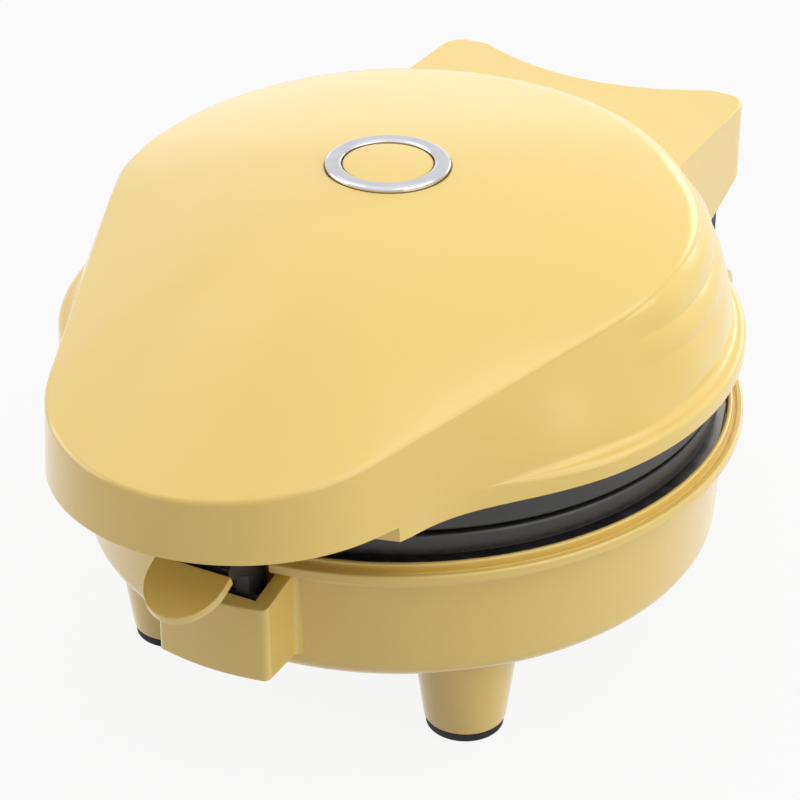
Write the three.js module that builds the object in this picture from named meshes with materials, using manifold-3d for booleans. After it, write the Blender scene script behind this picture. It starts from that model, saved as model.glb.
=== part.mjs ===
// Multi-grill: a small clamshell grill with a teardrop lid, two ribbed plates, a sprung
// front latch and a rear hinge. Millimetres, +Z up, +Y towards the hinge, +X to the right.
// The origin is on the ground, under the centre of the round housing.
import * as THREE from 'three';
import { mergeVertices } from 'three/addons/utils/BufferGeometryUtils.js';
import Module from 'manifold-3d';

const wasm = await Module();
wasm.setup();

// Facets
const turnSteps = 48;
const shieldSteps = 32;
const ringSteps = 24;
const legSteps = 18;
const rodSteps = 12;
const screwSteps = 6;
const edgeSteps = 2;
const bendSteps = 3;
const cornerSteps = 6;
const archSteps = 9;
const tabSteps = 15;
const noseSteps = 12;
const flankSteps = 7;
const rearSteps = 24;

// Clearances shared by all pieces
const seatGap = 0.3;
const runGap = 0.12;
const overrun = 6;

// Walls of the moulded housings
const wall = 2.4;

// Cooking plates
const plateRadius = 70;
const plateEdge = 0.6;
const plateRimWidth = 6;
const panDepth = 8;
const panDraft = 2;
const plateFloor = 4;
const plateMeetingGap = 0.8;
const lowerRimHeight = 4.9;
const upperRimHeight = 9;
const ribPitch = 10;
const ribWidth = 3.2;
const ribCrestWidth = 1.8;
const ribHeight = 2.6;
const ribEndGap = 1.5;
const plateToHousing = 0.6;

// Heights of the base
const padHeight = 1.9;
const legHeight = 20.7;
const bowlHeight = 29.5;
const rimToParting = 6.6;
const partingToLid = 8.5;
const baseUnderZ = padHeight + legHeight;
const rimZ = baseUnderZ + bowlHeight;
const partingZ = rimZ + rimToParting;
const lidUnderZ = partingZ + partingToLid;

// Bowl of the base
const openingRadius = plateRadius + 2;
const rimBeadWidth = 1.1;
const rimBeadRise = 1.4;
const rimGrooveWidth = 0.9;
const rimGrooveDepth = 0.7;
const rimShoulderWidth = 1.5;
const rimSideHeight = 2.2;
const rimUnderDrop = 1.85;
const rimUnderBend = 0.62;
const rimRadius = openingRadius + rimBeadWidth + rimGrooveWidth + rimShoulderWidth;
const rimOverhang = 3.7;
const bowlRadius = rimRadius - rimOverhang;
const bowlTaper = 1.4;
const bowlFillet = 4.5;
const ledgeDrop = 1.6;

// Legs and their rubber pads
const legSpacingX = 73.4;
const legSpacingY = 80.4;
const legTopRadius = 11.3;
const legTipRadius = 8.9;
const legFillet = 1.8;
const padRadius = 8.4;
const padEdge = 0.5;
const padPlugRadius = 3;
const padPlugHeight = 4;

// Lid flange and the three terraces above it
const flangeWidth = 5;
const flangeHeight = 4.4;
const flangeEdge = 1.5;
const flangeLowEdge = 0.45;
const flangeLedge = 3.3;
const ledgeFillet = 1.8;
const flangeRadius = plateRadius + flangeWidth;
const terraceCurve = 1.6;
const lowTerraceHeight = 10.6;
const midTerraceHeight = 5.6;
const topTerraceHeight = 7.6;
const lowLeanShare = 0.28;
const midLeanShare = 0.3;
const topLeanShare = 0.42;
const terraceTuck = 0.2;
const topTerraceSqueezeShare = 0.25;
const domeShares = [0.78, 0.55, 0.3];
const flankBlend = 4;
const flankBlendStart = 30;
const flankBlendFade = 12;

// Teardrop cap of the lid
const capRearInset = 11;
const capNoseRadius = 39.5;
const capNoseInset = 3.5;
const capRearRadius = flangeRadius - capRearInset;
const capNoseReach = plateRadius - capNoseInset;
const capDraft = 1.7;
const capSideRise = 30.5;
const capNoseDrop = 14.2;
const capRearRise = 5.2;
const capCrown = 11.9;
const capEdge = 0.8;
const capShoulder = 9.4;
const shoulderSpread = 0.8;
const noseUndercut = 3.3;
const noseTip = capNoseReach + capNoseRadius;
const capSideZ = lidUnderZ + capSideRise;
const capTopZ = capSideZ + capCrown;

// Cross wall that closes the lid behind the nose
const crossWallReach = 6;
const crossWallEndY = plateRadius + crossWallReach;
const crossWallRadius = 143;
const crossWallHeight = 15;

// Ring and disc on top of the lid
const ringForward = 6.1;
const ringOuterRadius = 13.3;
const ringWidth = 3.4;
const ringHeight = 1.9;
const ringEdge = 0.5;
const ringRecess = 1.5;
const ringGroove = 0.3;
const discCrown = 0.3;

// Rear block of the lid, with its two ears
const earHalfWidth = 39.6;
const earTipInset = 10.1;
const earReach = 26.6;
const earCornerRun = 7.1;
const earTipX = earHalfWidth - earTipInset;
const earTipY = flangeRadius + earReach;
const earCornerY = earTipY - earCornerRun;
const earDip = 8.2;
const earTopRise = 22.6;
const earEdge = 0.8;
const earUnderDrop = 1.2;
const earUnderLift = 5;
const earUnderRun = 15;

// Hinge
const hingeReach = 14.7;
const hingeY = bowlRadius + hingeReach;
const hingeDrop = 13.2;
const hingeZ = partingZ - hingeDrop;
const hingePinRadius = 2;
const hingeHubRadius = 5.4;
const hingeEarRadius = 5.5;
const hingeEarWidth = 4.6;
const hingeEarSweep = 10;
const hingeHubSweep = 5;
const hingeArmWidth = 7.6;
const hingeArmOuterX = earHalfWidth - wall - seatGap;
const hingeSideGap = 0.5;
const hingeArmFront = 6.5;
const hingeArmRear = 5;
const hingeFootReach = 8;
const hingeFootHeight = 2.4;
const hingeFootInset = 6;

// Rear bracket of the base
const bracketUnderRise = 2;
const bracketHeight = 10.6;
const bracketTipInset = 11;
const bracketCornerRun = 10.6;
const bracketRearY = earTipY;
const bracketCornerY = bracketRearY - bracketCornerRun;
const bracketDip = 8.4;

// Cord gland in the rear bracket, with no cord
const glandRise = 8;
const glandNeckRadius = 3;
const glandBoreRadius = 2.1;
const glandCollarRadius = 4.3;
const glandCollarWidth = 2;
const glandTailRadius = 2.9;
const glandTailReach = 6.1;
const glandCollarGap = 0.9;

// Latch block on the front of the bowl
const blockHalfWidth = 13;
const blockDepth = 11.9;
const blockReach = bowlRadius + blockDepth;
const blockBow = 1.1;
const blockCorner = 2;
const blockUnderRise = 5.9;
const blockFrontHeight = 17.4;
const blockRearRise = 3.4;
const pocketHalfWidth = 9.5;
const pocketFrontWall = 3.3;
const pocketRearWall = 1.9;
const pocketFloor = 3;

// Latch lever, its pin, spring, thumb tab and keeper
const leverHalfWidth = 7.5;
const latchPinReach = 3.9;
const latchPinRise = 15;
const latchPinRadius = 1.5;
const latchPinY = bowlRadius + latchPinReach;
const latchPinZ = baseUnderZ + blockUnderRise + latchPinRise;
const leverHubRadius = 3.4;
const leverBack = 3.2;
const leverFront = 3.9;
const leverTail = 8.5;
const leverTailInset = 1.3;
const leverTailThickness = 2.6;
const leverBodyHeight = 12;
const leverShelfThickness = 2.6;
const hookThickness = 1.9;
const hookReach = 1.1;
const hookHeight = 2;
const hookHalfWidth = 5.5;
const tabRise = 12.9;
const tabHalfWidth = 8.7;
const tabStraight = 2.6;
const tabLength = 12.9;
const tabThickness = 2.2;
const tabTilt = 23.5;
const tongueThickness = 1.6;
const tongueHalfWidth = 4.6;
const tongueLength = 7.5;
const keeperHalfWidth = 6;
const keeperDepth = 1.7;
const keeperHeight = 2.2;
const springWire = 0.6;
const springRadius = 1.9;
const springTurns = 4;
const springTurnSteps = 8;
const springSides = 5;

// Screws and posts that hold the plates
const postX = 20;
const postY = 16;
const postRadius = 3.6;
const screwRadius = 1.8;
const screwHeadRadius = 3.2;
const screwHeadHeight = 2.1;
const screwGap = 0.25;
const screwBite = 2;
const baseBossRadius = screwHeadRadius + screwGap + wall;

// Heat shields and heating elements
const shieldThickness = 0.8;
const shieldFloorRise = 11.9;
const shieldWallGap = 1.9;
const shieldHoleRadius = 12;
const upperShieldRise = 8;
const upperShieldInset = 7;
const upperShieldRim = 5;
const elementRadius = 47;
const elementTube = 3.2;
const elementOpenTurn = 0.16;
const elementEndPull = 11;
const elementEndSteps = 2;
const elementSteps = 40;
const elementSides = 6;

// Thermostat, fuse and terminal block in the base
const thermostatRadius = 8.4;
const thermostatHeight = 4.6;
const thermostatTabWidth = 5;
const thermostatTabReach = 4;
const thermostatTabThickness = 0.8;
const fuseRadius = 2;
const fuseLength = 13;
const fuseOffset = 14;
const fuseTip = 1.4;
const terminalWidth = 17;
const terminalDepth = 9;
const terminalHeight = 7;
const terminalY = 42;
const terminalBore = 1.3;
const leadRadius = 0.9;
const leadSpacing = 4.4;
const leadSteps = 16;
const leadSides = 6;

// Materials
const paint = (color, roughness, metalness) =>
  new THREE.MeshStandardMaterial({ color, roughness, metalness });
const butterPlastic = () => paint(0xf0cf85, 0.28, 0);
const blackPlastic = () => paint(0x161617, 0.42, 0);
const plateCoating = () => paint(0x424244, 0.45, 0.3);
const chrome = () => paint(0xd8dadd, 0.12, 1);
const steel = () => paint(0x9a9da1, 0.35, 1);
const rubber = () => paint(0x1f2124, 0.85, 0);
const ceramic = () => paint(0xe6e2d8, 0.6, 0);
const aluminiumSheet = () => paint(0xb4b7ba, 0.4, 1);
const leadCover = () => paint(0xd8d2c0, 0.7, 0);

const degrees = (angle) => (angle * Math.PI) / 180;
const mix = (a, b, share) => a + (b - a) * share;

// A closed solid from a geometry; a profile drawn the wrong way round is turned right side out
function solid(geometry) {
  const bare = geometry.index ? geometry.toNonIndexed() : geometry.clone();
  bare.deleteAttribute('normal');
  bare.deleteAttribute('uv');
  const merged = mergeVertices(bare, 1e-4);
  const index = merged.index.array;
  const kept = [];
  for (let i = 0; i < index.length; i += 3) {
    const [a, b, c] = [index[i], index[i + 1], index[i + 2]];
    if (a !== b && b !== c && c !== a) kept.push(a, b, c);
  }
  const build = (triangles) =>
    new wasm.Manifold(
      new wasm.Mesh({
        numProp: 3,
        vertProperties: merged.attributes.position.array,
        triVerts: new Uint32Array(triangles),
      }),
    );
  const made = build(kept);
  return made.volume() < 0 ? build(kept.reverse()) : made;
}

// The geometry of a solid, for a mesh
function surface(made) {
  const mesh = made.getMesh();
  const geometry = new THREE.BufferGeometry();
  geometry.setAttribute('position', new THREE.BufferAttribute(new Float32Array(mesh.vertProperties), 3));
  geometry.setIndex(new THREE.BufferAttribute(new Uint32Array(mesh.triVerts), 1));
  geometry.computeVertexNormals();
  return geometry;
}

function piece(name, made, material) {
  const mesh = new THREE.Mesh(surface(made), material);
  mesh.name = name;
  return mesh;
}

// A solid turned about the vertical axis at (x, y) from a closed [radius, height] profile
function turned(profile, x = 0, y = 0, steps = turnSteps) {
  const points = profile.map(([radius, height]) => new THREE.Vector2(radius, height));
  const closes = points[0].x > 0 || points[points.length - 1].x > 0;
  if (closes) points.push(points[0].clone());
  return solid(new THREE.LatheGeometry(points, steps).rotateX(Math.PI / 2).translate(x, y, 0));
}

// A round bar from one height to another
function upright(radius, lowZ, highZ, x = 0, y = 0, steps = rodSteps) {
  const bar = new THREE.CylinderGeometry(radius, radius, highZ - lowZ, steps);
  return solid(bar.rotateX(Math.PI / 2).translate(x, y, (lowZ + highZ) / 2));
}

// A round bar along X
function crossBar(radius, lowX, highX, y, z, steps = rodSteps) {
  const bar = new THREE.CylinderGeometry(radius, radius, highX - lowX, steps);
  return solid(bar.rotateZ(Math.PI / 2).translate((lowX + highX) / 2, y, z));
}

// A box given by its lowest and highest corners
function block(low, high) {
  const size = high.map((value, i) => value - low[i]);
  const middle = high.map((value, i) => (value + low[i]) / 2);
  return solid(new THREE.BoxGeometry(...size).translate(...middle));
}

// A plan outline raised from one height to another
function raised(shape, lowZ, highZ, curveSteps = bendSteps) {
  const depth = highZ - lowZ;
  const settings = { depth, bevelEnabled: false, curveSegments: curveSteps };
  return solid(new THREE.ExtrudeGeometry(shape, settings).translate(0, 0, lowZ));
}

// A side outline of [y, z] points carried along X
function sideProfile(points, lowX, highX) {
  const shape = new THREE.Shape(points.map(([y, z]) => new THREE.Vector2(y, z)));
  const depth = highX - lowX;
  const geometry = new THREE.ExtrudeGeometry(shape, { depth, bevelEnabled: false });
  const toSide = new THREE.Matrix4().makeBasis(
    new THREE.Vector3(0, 1, 0),
    new THREE.Vector3(0, 0, 1),
    new THREE.Vector3(1, 0, 0),
  );
  return solid(geometry.applyMatrix4(toSide).translate(lowX, 0, 0));
}

// Points on an arc of a [across, up] profile, from one angle to another in degrees
function arc(across, up, radius, from, to, steps = bendSteps) {
  const points = [];
  for (let i = 0; i <= steps; i += 1) {
    const angle = degrees(mix(from, to, i / steps));
    points.push([across + radius * Math.cos(angle), up + radius * Math.sin(angle)]);
  }
  return points;
}

// A closed body through rings of points, lowest ring first
function loft(rings) {
  const count = rings[0].length;
  const centre = (ring) => {
    const sum = new THREE.Vector3();
    ring.forEach((point) => sum.add(point));
    return sum.divideScalar(count);
  };
  const corners = [];
  const face = (a, b, c) => corners.push(a, b, c);
  const floor = centre(rings[0]);
  const roof = centre(rings[rings.length - 1]);
  for (let i = 0; i < count; i += 1) {
    const j = (i + 1) % count;
    face(floor, rings[0][j], rings[0][i]);
    for (let k = 0; k + 1 < rings.length; k += 1) {
      const [low, high] = [rings[k], rings[k + 1]];
      face(low[i], low[j], high[j]);
      face(low[i], high[j], high[i]);
    }
    face(rings[rings.length - 1][i], rings[rings.length - 1][j], roof);
  }
  return solid(new THREE.BufferGeometry().setFromPoints(corners));
}

// A round tube along a curve
function tube(curve, radius, sides, steps) {
  const section = new THREE.Shape();
  for (let i = 0; i < sides; i += 1) {
    const angle = (2 * Math.PI * i) / sides;
    const [x, y] = [radius * Math.cos(angle), radius * Math.sin(angle)];
    if (i === 0) section.moveTo(x, y);
    else section.lineTo(x, y);
  }
  return solid(new THREE.ExtrudeGeometry(section, { steps, extrudePath: curve, bevelEnabled: false }));
}

function joined(parts) {
  return parts.reduce((whole, part) => whole.add(part));
}

function both(make) {
  return [make(-1), make(1)];
}

// The four places of the posts, and of the legs
const postPlaces = [-1, 1].flatMap((sideX) => [-1, 1].map((sideY) => [sideX * postX, sideY * postY]));
const legPlaces = [-1, 1].flatMap((sideX) =>
  [-1, 1].map((sideY) => ({
    name: `${sideY < 0 ? 'front' : 'rear'}_${sideX < 0 ? 'left' : 'right'}`,
    x: (sideX * legSpacingX) / 2,
    y: (sideY * legSpacingY) / 2,
  })),
);

// Teardrop plan: a large circle over the housing and a smaller one at the nose, joined by
// straight flanks. A station is a direction of the outward normal and a share of the way
// from the rear circle to the nose circle.
const flankLean = Math.asin((capRearRadius - capNoseRadius) / capNoseReach);
function teardropStations() {
  const stations = [];
  for (let i = 0; i <= noseSteps; i += 1) {
    const angle = mix(-Math.PI + flankLean, -flankLean, i / noseSteps);
    stations.push({ angle, noseShare: 1 });
  }
  for (let i = 1; i < flankSteps; i += 1) {
    stations.push({ angle: -flankLean, noseShare: 1 - i / flankSteps });
  }
  for (let i = 0; i <= rearSteps; i += 1) {
    const angle = mix(-flankLean, Math.PI + flankLean, i / rearSteps);
    stations.push({ angle, noseShare: 0 });
  }
  for (let i = 1; i < flankSteps; i += 1) {
    stations.push({ angle: Math.PI + flankLean, noseShare: i / flankSteps });
  }
  return stations;
}

function planPoint(station, grow) {
  const radius = mix(capRearRadius, capNoseRadius, station.noseShare) + grow;
  const middle = -capNoseReach * station.noseShare;
  return [radius * Math.cos(station.angle), middle + radius * Math.sin(station.angle)];
}

// Height of the cap's edge, and radius of the rounding there, which grows towards the rear
function edgeHeight(station) {
  const y = planPoint(station, 0)[1];
  return y < 0 ? capSideZ + (capNoseDrop * y) / noseTip : capSideZ + (capRearRise * y) / capRearRadius;
}

function edgeRounding(station) {
  return mix(capEdge, capShoulder, Math.max(Math.sin(station.angle), 0) ** shoulderSpread);
}

// Rows of the revolved part of the lid's wall, [radius, height], from the flange's foot up
// through three terraces that each lean in more towards their tops
const ledgeTopZ = lidUnderZ + flangeHeight;
const terraceFootRadius = flangeRadius - flangeLedge;
const terraceFootZ = ledgeTopZ + ledgeFillet;
const terraceTopRadius = capRearRadius - terraceTuck;
const terraceLean = terraceFootRadius - terraceTopRadius;
const terraces = [
  [lowTerraceHeight, lowLeanShare * terraceLean],
  [midTerraceHeight, midLeanShare * terraceLean],
  [topTerraceHeight, topLeanShare * terraceLean],
];
const terraceTopZ = terraces.reduce((z, [height]) => z + height, terraceFootZ);
function wallRows() {
  const rows = [
    [flangeRadius - flangeLowEdge, lidUnderZ],
    [flangeRadius, lidUnderZ + flangeLowEdge],
    ...arc(flangeRadius - flangeEdge, ledgeTopZ - flangeEdge, flangeEdge, 0, 90, edgeSteps),
    ...arc(terraceFootRadius + ledgeFillet, terraceFootZ, ledgeFillet, 270, 180, edgeSteps),
  ];
  let [footRadius, footZ] = [terraceFootRadius, terraceFootZ];
  terraces.forEach(([height, lean]) => {
    for (let k = 1; k <= bendSteps; k += 1) {
      const share = k / bendSteps;
      rows.push([footRadius - lean * share ** terraceCurve, footZ + height * share]);
    }
    footRadius -= lean;
    footZ += height;
  });
  return rows;
}

// The larger of two radii, with a soft change from one to the other over a width
function softLarger(a, b, width) {
  if (width <= 0 || Math.abs(a - b) >= width) return Math.max(a, b);
  const share = 1 / 2 + (a - b) / (2 * width);
  return mix(b, a, share) + (width * share * (1 - share)) / 2;
}

// A point of the lid's wall: the drafted teardrop or the terraces, whichever stands out more
function wallPoint(station, radius, height, topZ, inset) {
  const squeezed = topZ - topTerraceSqueezeShare * (terraceTopZ - height);
  const z = Math.min(height, squeezed);
  const draft = (capDraft * Math.max(topZ - z, 0)) / (capSideZ - lidUnderZ);
  const [x, y] = planPoint(station, draft - inset);
  const reach = Math.hypot(x, y);
  const forwardShare = Math.min(Math.max(-y / flankBlendStart, 0), 1);
  const depthShare = Math.min((topZ - z) / flankBlendFade, 1);
  const width = flankBlend * forwardShare * depthShare;
  const share = softLarger(reach, radius, width) / reach;
  return new THREE.Vector3(x * share, y * share, z);
}

// Rings of the rounded edge and the dome
function roofRings(stations, inset) {
  const crownY = -ringForward;
  const point = (station, back, drop, domeShare) => {
    const [x, y] = planPoint(station, -inset);
    const [edgeX, edgeY] = planPoint(station, 0);
    const inward = x * Math.cos(station.angle) + (y - crownY) * Math.sin(station.angle);
    const share = (1 - back / inward) * domeShare;
    const reach = (Math.hypot(x, y - crownY) * share) / Math.hypot(edgeX, edgeY - crownY);
    const z = capTopZ - (capTopZ - edgeHeight(station)) * reach ** 2 - drop;
    return new THREE.Vector3(x * share, crownY + (y - crownY) * share, z - inset);
  };
  const rings = [];
  for (let k = 1; k <= bendSteps; k += 1) {
    const turn = degrees((90 * k) / bendSteps);
    rings.push(
      stations.map((station) => {
        const radius = Math.max(edgeRounding(station) - inset, 0);
        return point(station, radius * (1 - Math.cos(turn)), radius * (1 - Math.sin(turn)), 1);
      }),
    );
  }
  domeShares.forEach((domeShare) => {
    rings.push(
      stations.map((station) => point(station, Math.max(edgeRounding(station) - inset, 0), 0, domeShare)),
    );
  });
  return rings;
}

// Outside of the lid as one closed body, and the same shape a wall's thickness inside it
function lidOutside() {
  const stations = teardropStations();
  const rings = wallRows().map(([radius, height]) =>
    stations.map((station) => {
      const topZ = edgeHeight(station) - edgeRounding(station);
      return wallPoint(station, radius, height, topZ, 0);
    }),
  );
  return loft([...rings, ...roofRings(stations, 0)]);
}

function lidInside() {
  const stations = teardropStations();
  const mouthRadius = plateRadius + plateToHousing;
  const rows = [
    [mouthRadius, lidUnderZ - overrun],
    [mouthRadius, ledgeTopZ - wall / 4],
    [terraceFootRadius - wall, terraceFootZ],
    [terraceTopRadius - wall, terraceTopZ],
  ];
  const rings = rows.map(([radius, height]) =>
    stations.map((station) => {
      const topZ = edgeHeight(station) - Math.max(edgeRounding(station), wall);
      return wallPoint(station, radius, height, topZ, wall);
    }),
  );
  return loft([...rings, ...roofRings(stations, wall)]);
}

// Plan of a rear block: straight sides, rounded corners and a hollow between two ears
function earPlan(inset, halfWidth, cornerY, tipX, tipY, dip) {
  const side = halfWidth - inset;
  const tip = tipY - inset;
  const dipY = tip - dip;
  const shape = new THREE.Shape();
  shape.moveTo(-side, 0);
  shape.lineTo(side, 0);
  shape.lineTo(side, cornerY - inset);
  shape.quadraticCurveTo(side, tip, tipX + (side - tipX) / 3, tip);
  shape.lineTo(tipX, tip);
  shape.quadraticCurveTo(tipX / 2, dipY, 0, dipY);
  shape.quadraticCurveTo(-tipX / 2, dipY, -tipX, tip);
  shape.lineTo(-tipX - (side - tipX) / 3, tip);
  shape.quadraticCurveTo(-side, tip, -side, cornerY - inset);
  return shape;
}

// Everything above the slanted underside of the lid's rear block
function aboveEarUnderside(lift) {
  const slope = earUnderLift / earUnderRun;
  const startY = earTipY - earUnderRun - 2 * wall;
  const lowZ = lidUnderZ - earUnderDrop + lift;
  const far = earTipY + overrun;
  return sideProfile(
    [
      [0, lowZ],
      [startY, lowZ],
      [far, lowZ + (far - startY) * slope],
      [far, capTopZ],
      [0, capTopZ],
    ],
    -earHalfWidth - overrun,
    earHalfWidth + overrun,
  );
}

function earBlock(inset, lift) {
  const topZ = lidUnderZ + earTopRise - inset;
  const plan = earPlan(inset, earHalfWidth, earCornerY, earTipX, earTipY, earDip);
  const lower = raised(plan, lidUnderZ - overrun, topZ - (inset ? 0 : earEdge), cornerSteps);
  if (inset) return lower.intersect(aboveEarUnderside(lift));
  const trimmed = earPlan(earEdge, earHalfWidth, earCornerY, earTipX, earTipY, earDip);
  const upper = raised(trimmed, topZ - earEdge, topZ, cornerSteps);
  return lower.add(upper).intersect(aboveEarUnderside(lift));
}

// Arched wall across the lid, behind the nose
function crossWall() {
  const halfSpan = mix(capRearRadius, capNoseRadius, 1) + overrun;
  const sag = crossWallRadius - Math.sqrt(crossWallRadius ** 2 - capNoseRadius ** 2);
  const middleY = crossWallRadius - crossWallEndY - sag;
  const spread = Math.asin(halfSpan / crossWallRadius);
  const shape = new THREE.Shape();
  shape.absarc(0, middleY, crossWallRadius, -Math.PI / 2 - spread, -Math.PI / 2 + spread, false);
  shape.absarc(0, middleY, crossWallRadius - wall, -Math.PI / 2 + spread, -Math.PI / 2 - spread, true);
  return raised(shape, lidUnderZ, lidUnderZ + crossWallHeight, archSteps);
}
const crossWallSag = crossWallRadius - Math.sqrt(crossWallRadius ** 2 - capNoseRadius ** 2);
const crossWallFrontY = crossWallEndY + crossWallSag;

// Posts moulded under the lid's roof, which take the upper plate's screws
const upperShieldZ = partingZ + plateMeetingGap / 2 + panDepth + plateFloor + upperShieldRise;
function lidPosts() {
  const footZ = upperShieldZ + shieldThickness + seatGap;
  const posts = postPlaces.map(([x, y]) => upright(postRadius, footZ, capTopZ, x, y));
  return joined(posts);
}

// Pads moulded under the roof of the rear block, which take the hinge arms' screws
const earRoofZ = lidUnderZ + earTopRise - wall;
const hingePadHeight = 4;
const hingeFootTopZ = earRoofZ - hingePadHeight - seatGap;
const hingeScrewPlaces = [-1, 1].flatMap((side) =>
  [-1, 1].map((end) => [
    side * (hingeArmOuterX - hingeArmWidth - hingeFootReach / 2),
    hingeY - hingeArmFront / 2 + end * (hingeFootInset / 2 + screwRadius),
  ]),
);
function hingePads() {
  const padUnderZ = earRoofZ - hingePadHeight;
  return joined(hingeScrewPlaces.map(([x, y]) => upright(postRadius, padUnderZ, earRoofZ + wall / 2, x, y)));
}

function lidCover() {
  const outside = lidOutside();
  const inside = lidInside();
  const noseCut = block(
    [-capRearRadius, -noseTip - overrun, lidUnderZ - overrun],
    [capRearRadius, -crossWallEndY, lidUnderZ + noseUndercut],
  );
  const earHollow = earBlock(wall, -overrun).subtract(outside);
  const screwEndZ = upperShieldZ + shieldThickness + seatGap + overrun + screwBite;
  const screwBores = postPlaces.map(([x, y]) => upright(screwRadius + screwGap, lidUnderZ, screwEndZ, x, y));
  const hingeBores = hingeScrewPlaces.map(([x, y]) =>
    upright(screwRadius + screwGap, earRoofZ - hingePadHeight - overrun, earRoofZ - seatGap, x, y),
  );
  const ringSeat = upright(
    ringOuterRadius + ringGroove,
    capTopZ - ringRecess,
    capTopZ + overrun,
    0,
    -ringForward,
    ringSteps,
  );
  return outside
    .add(earBlock(0, 0))
    .subtract(inside)
    .subtract(earHollow)
    .subtract(noseCut)
    .add(crossWall().intersect(outside))
    .add(lidPosts().intersect(outside).subtract(joined(screwBores)))
    .add(hingePads().subtract(joined(hingeBores)))
    .subtract(ringSeat);
}

// Polished ring, a turned band with softened edges
const ringFootZ = capTopZ - ringRecess + seatGap / 2;
function ringTrim() {
  const innerRadius = ringOuterRadius - ringWidth;
  const topZ = ringFootZ + ringHeight;
  return turned(
    [
      [innerRadius, ringFootZ],
      [ringOuterRadius, ringFootZ],
      [ringOuterRadius, topZ - ringEdge],
      [ringOuterRadius - ringEdge, topZ],
      [innerRadius + ringEdge, topZ],
      [innerRadius, topZ - ringEdge],
    ],
    0,
    -ringForward,
    ringSteps,
  );
}

function ringDisc() {
  const radius = ringOuterRadius - ringWidth - ringGroove;
  const edgeZ = ringFootZ + ringHeight - ringEdge;
  return turned(
    [
      [0, ringFootZ],
      [radius, ringFootZ],
      [radius, edgeZ - ringEdge / 2],
      [radius - ringEdge / 2, edgeZ],
      [0, edgeZ + discCrown],
    ],
    0,
    -ringForward,
    ringSteps,
  );
}

// Heights and radii that the base's inner pieces share
const baseFloorZ = baseUnderZ + wall;
const ledgeZ = rimZ - ledgeDrop;
const lowerShieldZ = baseFloorZ + shieldFloorRise;
const bowlInnerRadius = bowlRadius - wall;

// Ribs that stand on a pan's floor, trimmed to a circle
function ribs(floorZ, upwards) {
  const reach = plateRadius - plateRimWidth - panDraft - ribEndGap;
  const crestZ = floorZ + upwards * ribHeight;
  const rootZ = floorZ - upwards * ribEndGap;
  const rows = Math.floor(reach / ribPitch + 1 / 2);
  const bars = [];
  for (let i = 0; i < rows; i += 1) {
    both((side) => {
      const x = side * ribPitch * (i + 1 / 2);
      const section = [
        [x - ribWidth / 2, rootZ],
        [x + ribWidth / 2, rootZ],
        [x + ribWidth / 2, floorZ],
        [x + ribCrestWidth / 2, crestZ],
        [x - ribCrestWidth / 2, crestZ],
        [x - ribWidth / 2, floorZ],
      ];
      const shape = new THREE.Shape(section.map(([across, up]) => new THREE.Vector2(across, up)));
      const geometry = new THREE.ExtrudeGeometry(shape, { depth: 2 * reach, bevelEnabled: false });
      bars.push(solid(geometry.rotateX(Math.PI / 2).translate(0, reach, 0)));
    });
  }
  const low = Math.min(crestZ, rootZ) - seatGap;
  const high = Math.max(crestZ, rootZ) + seatGap;
  return joined(bars).intersect(upright(reach, low, high, 0, 0, turnSteps));
}

// Lower plate: a ribbed pan with a deep outer rim, on cast studs that stand on the heat shield
const lowerRimTopZ = partingZ - plateMeetingGap / 2;
const lowerPanZ = lowerRimTopZ - panDepth;
const lowerPlateUnderZ = lowerPanZ - plateFloor;
function lowerPlate() {
  const rimInner = plateRadius - plateRimWidth;
  const rimUnderZ = lowerRimTopZ - lowerRimHeight;
  const studFootZ = lowerShieldZ + shieldThickness + seatGap;
  const studs = postPlaces.map(([x, y]) => upright(postRadius, studFootZ, lowerPlateUnderZ + seatGap, x, y));
  const bores = postPlaces.map(([x, y]) =>
    upright(screwRadius + screwGap, studFootZ - overrun, lowerPlateUnderZ + screwBite + seatGap, x, y),
  );
  const pan = turned([
    [0, lowerPlateUnderZ],
    [rimInner - plateEdge, lowerPlateUnderZ],
    [rimInner + plateFloor / 2, rimUnderZ],
    [plateRadius - plateEdge, rimUnderZ],
    [plateRadius, rimUnderZ + plateEdge],
    [plateRadius, lowerRimTopZ - plateEdge],
    [plateRadius - plateEdge, lowerRimTopZ],
    [rimInner, lowerRimTopZ],
    [rimInner - panDraft, lowerPanZ],
    [0, lowerPanZ],
  ]);
  return pan.add(joined(studs)).add(ribs(lowerPanZ, 1)).subtract(joined(bores));
}

// Upper plate: the same pan turned over, with cast studs that carry the heat shield
const upperRimUnderZ = partingZ + plateMeetingGap / 2;
const upperPanZ = upperRimUnderZ + panDepth;
const upperPlateBackZ = upperPanZ + plateFloor;
function upperPlate() {
  const rimInner = plateRadius - plateRimWidth;
  const rimTopZ = upperRimUnderZ + upperRimHeight;
  const studs = postPlaces.map(([x, y]) =>
    upright(postRadius, upperPlateBackZ - seatGap, upperShieldZ - seatGap, x, y),
  );
  const bores = postPlaces.map(([x, y]) =>
    upright(screwRadius + screwGap, upperPanZ - overrun, upperShieldZ + overrun, x, y),
  );
  const sinks = postPlaces.map(([x, y]) =>
    upright(screwHeadRadius + screwGap, upperPanZ - overrun, upperPanZ + screwHeadHeight + screwGap, x, y),
  );
  const pan = turned([
    [0, upperPanZ],
    [rimInner - panDraft, upperPanZ],
    [rimInner, upperRimUnderZ],
    [plateRadius - plateEdge, upperRimUnderZ],
    [plateRadius, upperRimUnderZ + plateEdge],
    [plateRadius, rimTopZ - plateEdge],
    [plateRadius - plateEdge, rimTopZ],
    [rimInner + plateFloor / 2, rimTopZ],
    [rimInner - plateEdge, upperPlateBackZ],
    [0, upperPlateBackZ],
  ]);
  return pan.add(joined(studs)).add(ribs(upperPanZ, -1)).subtract(joined(bores)).subtract(joined(sinks));
}

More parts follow.
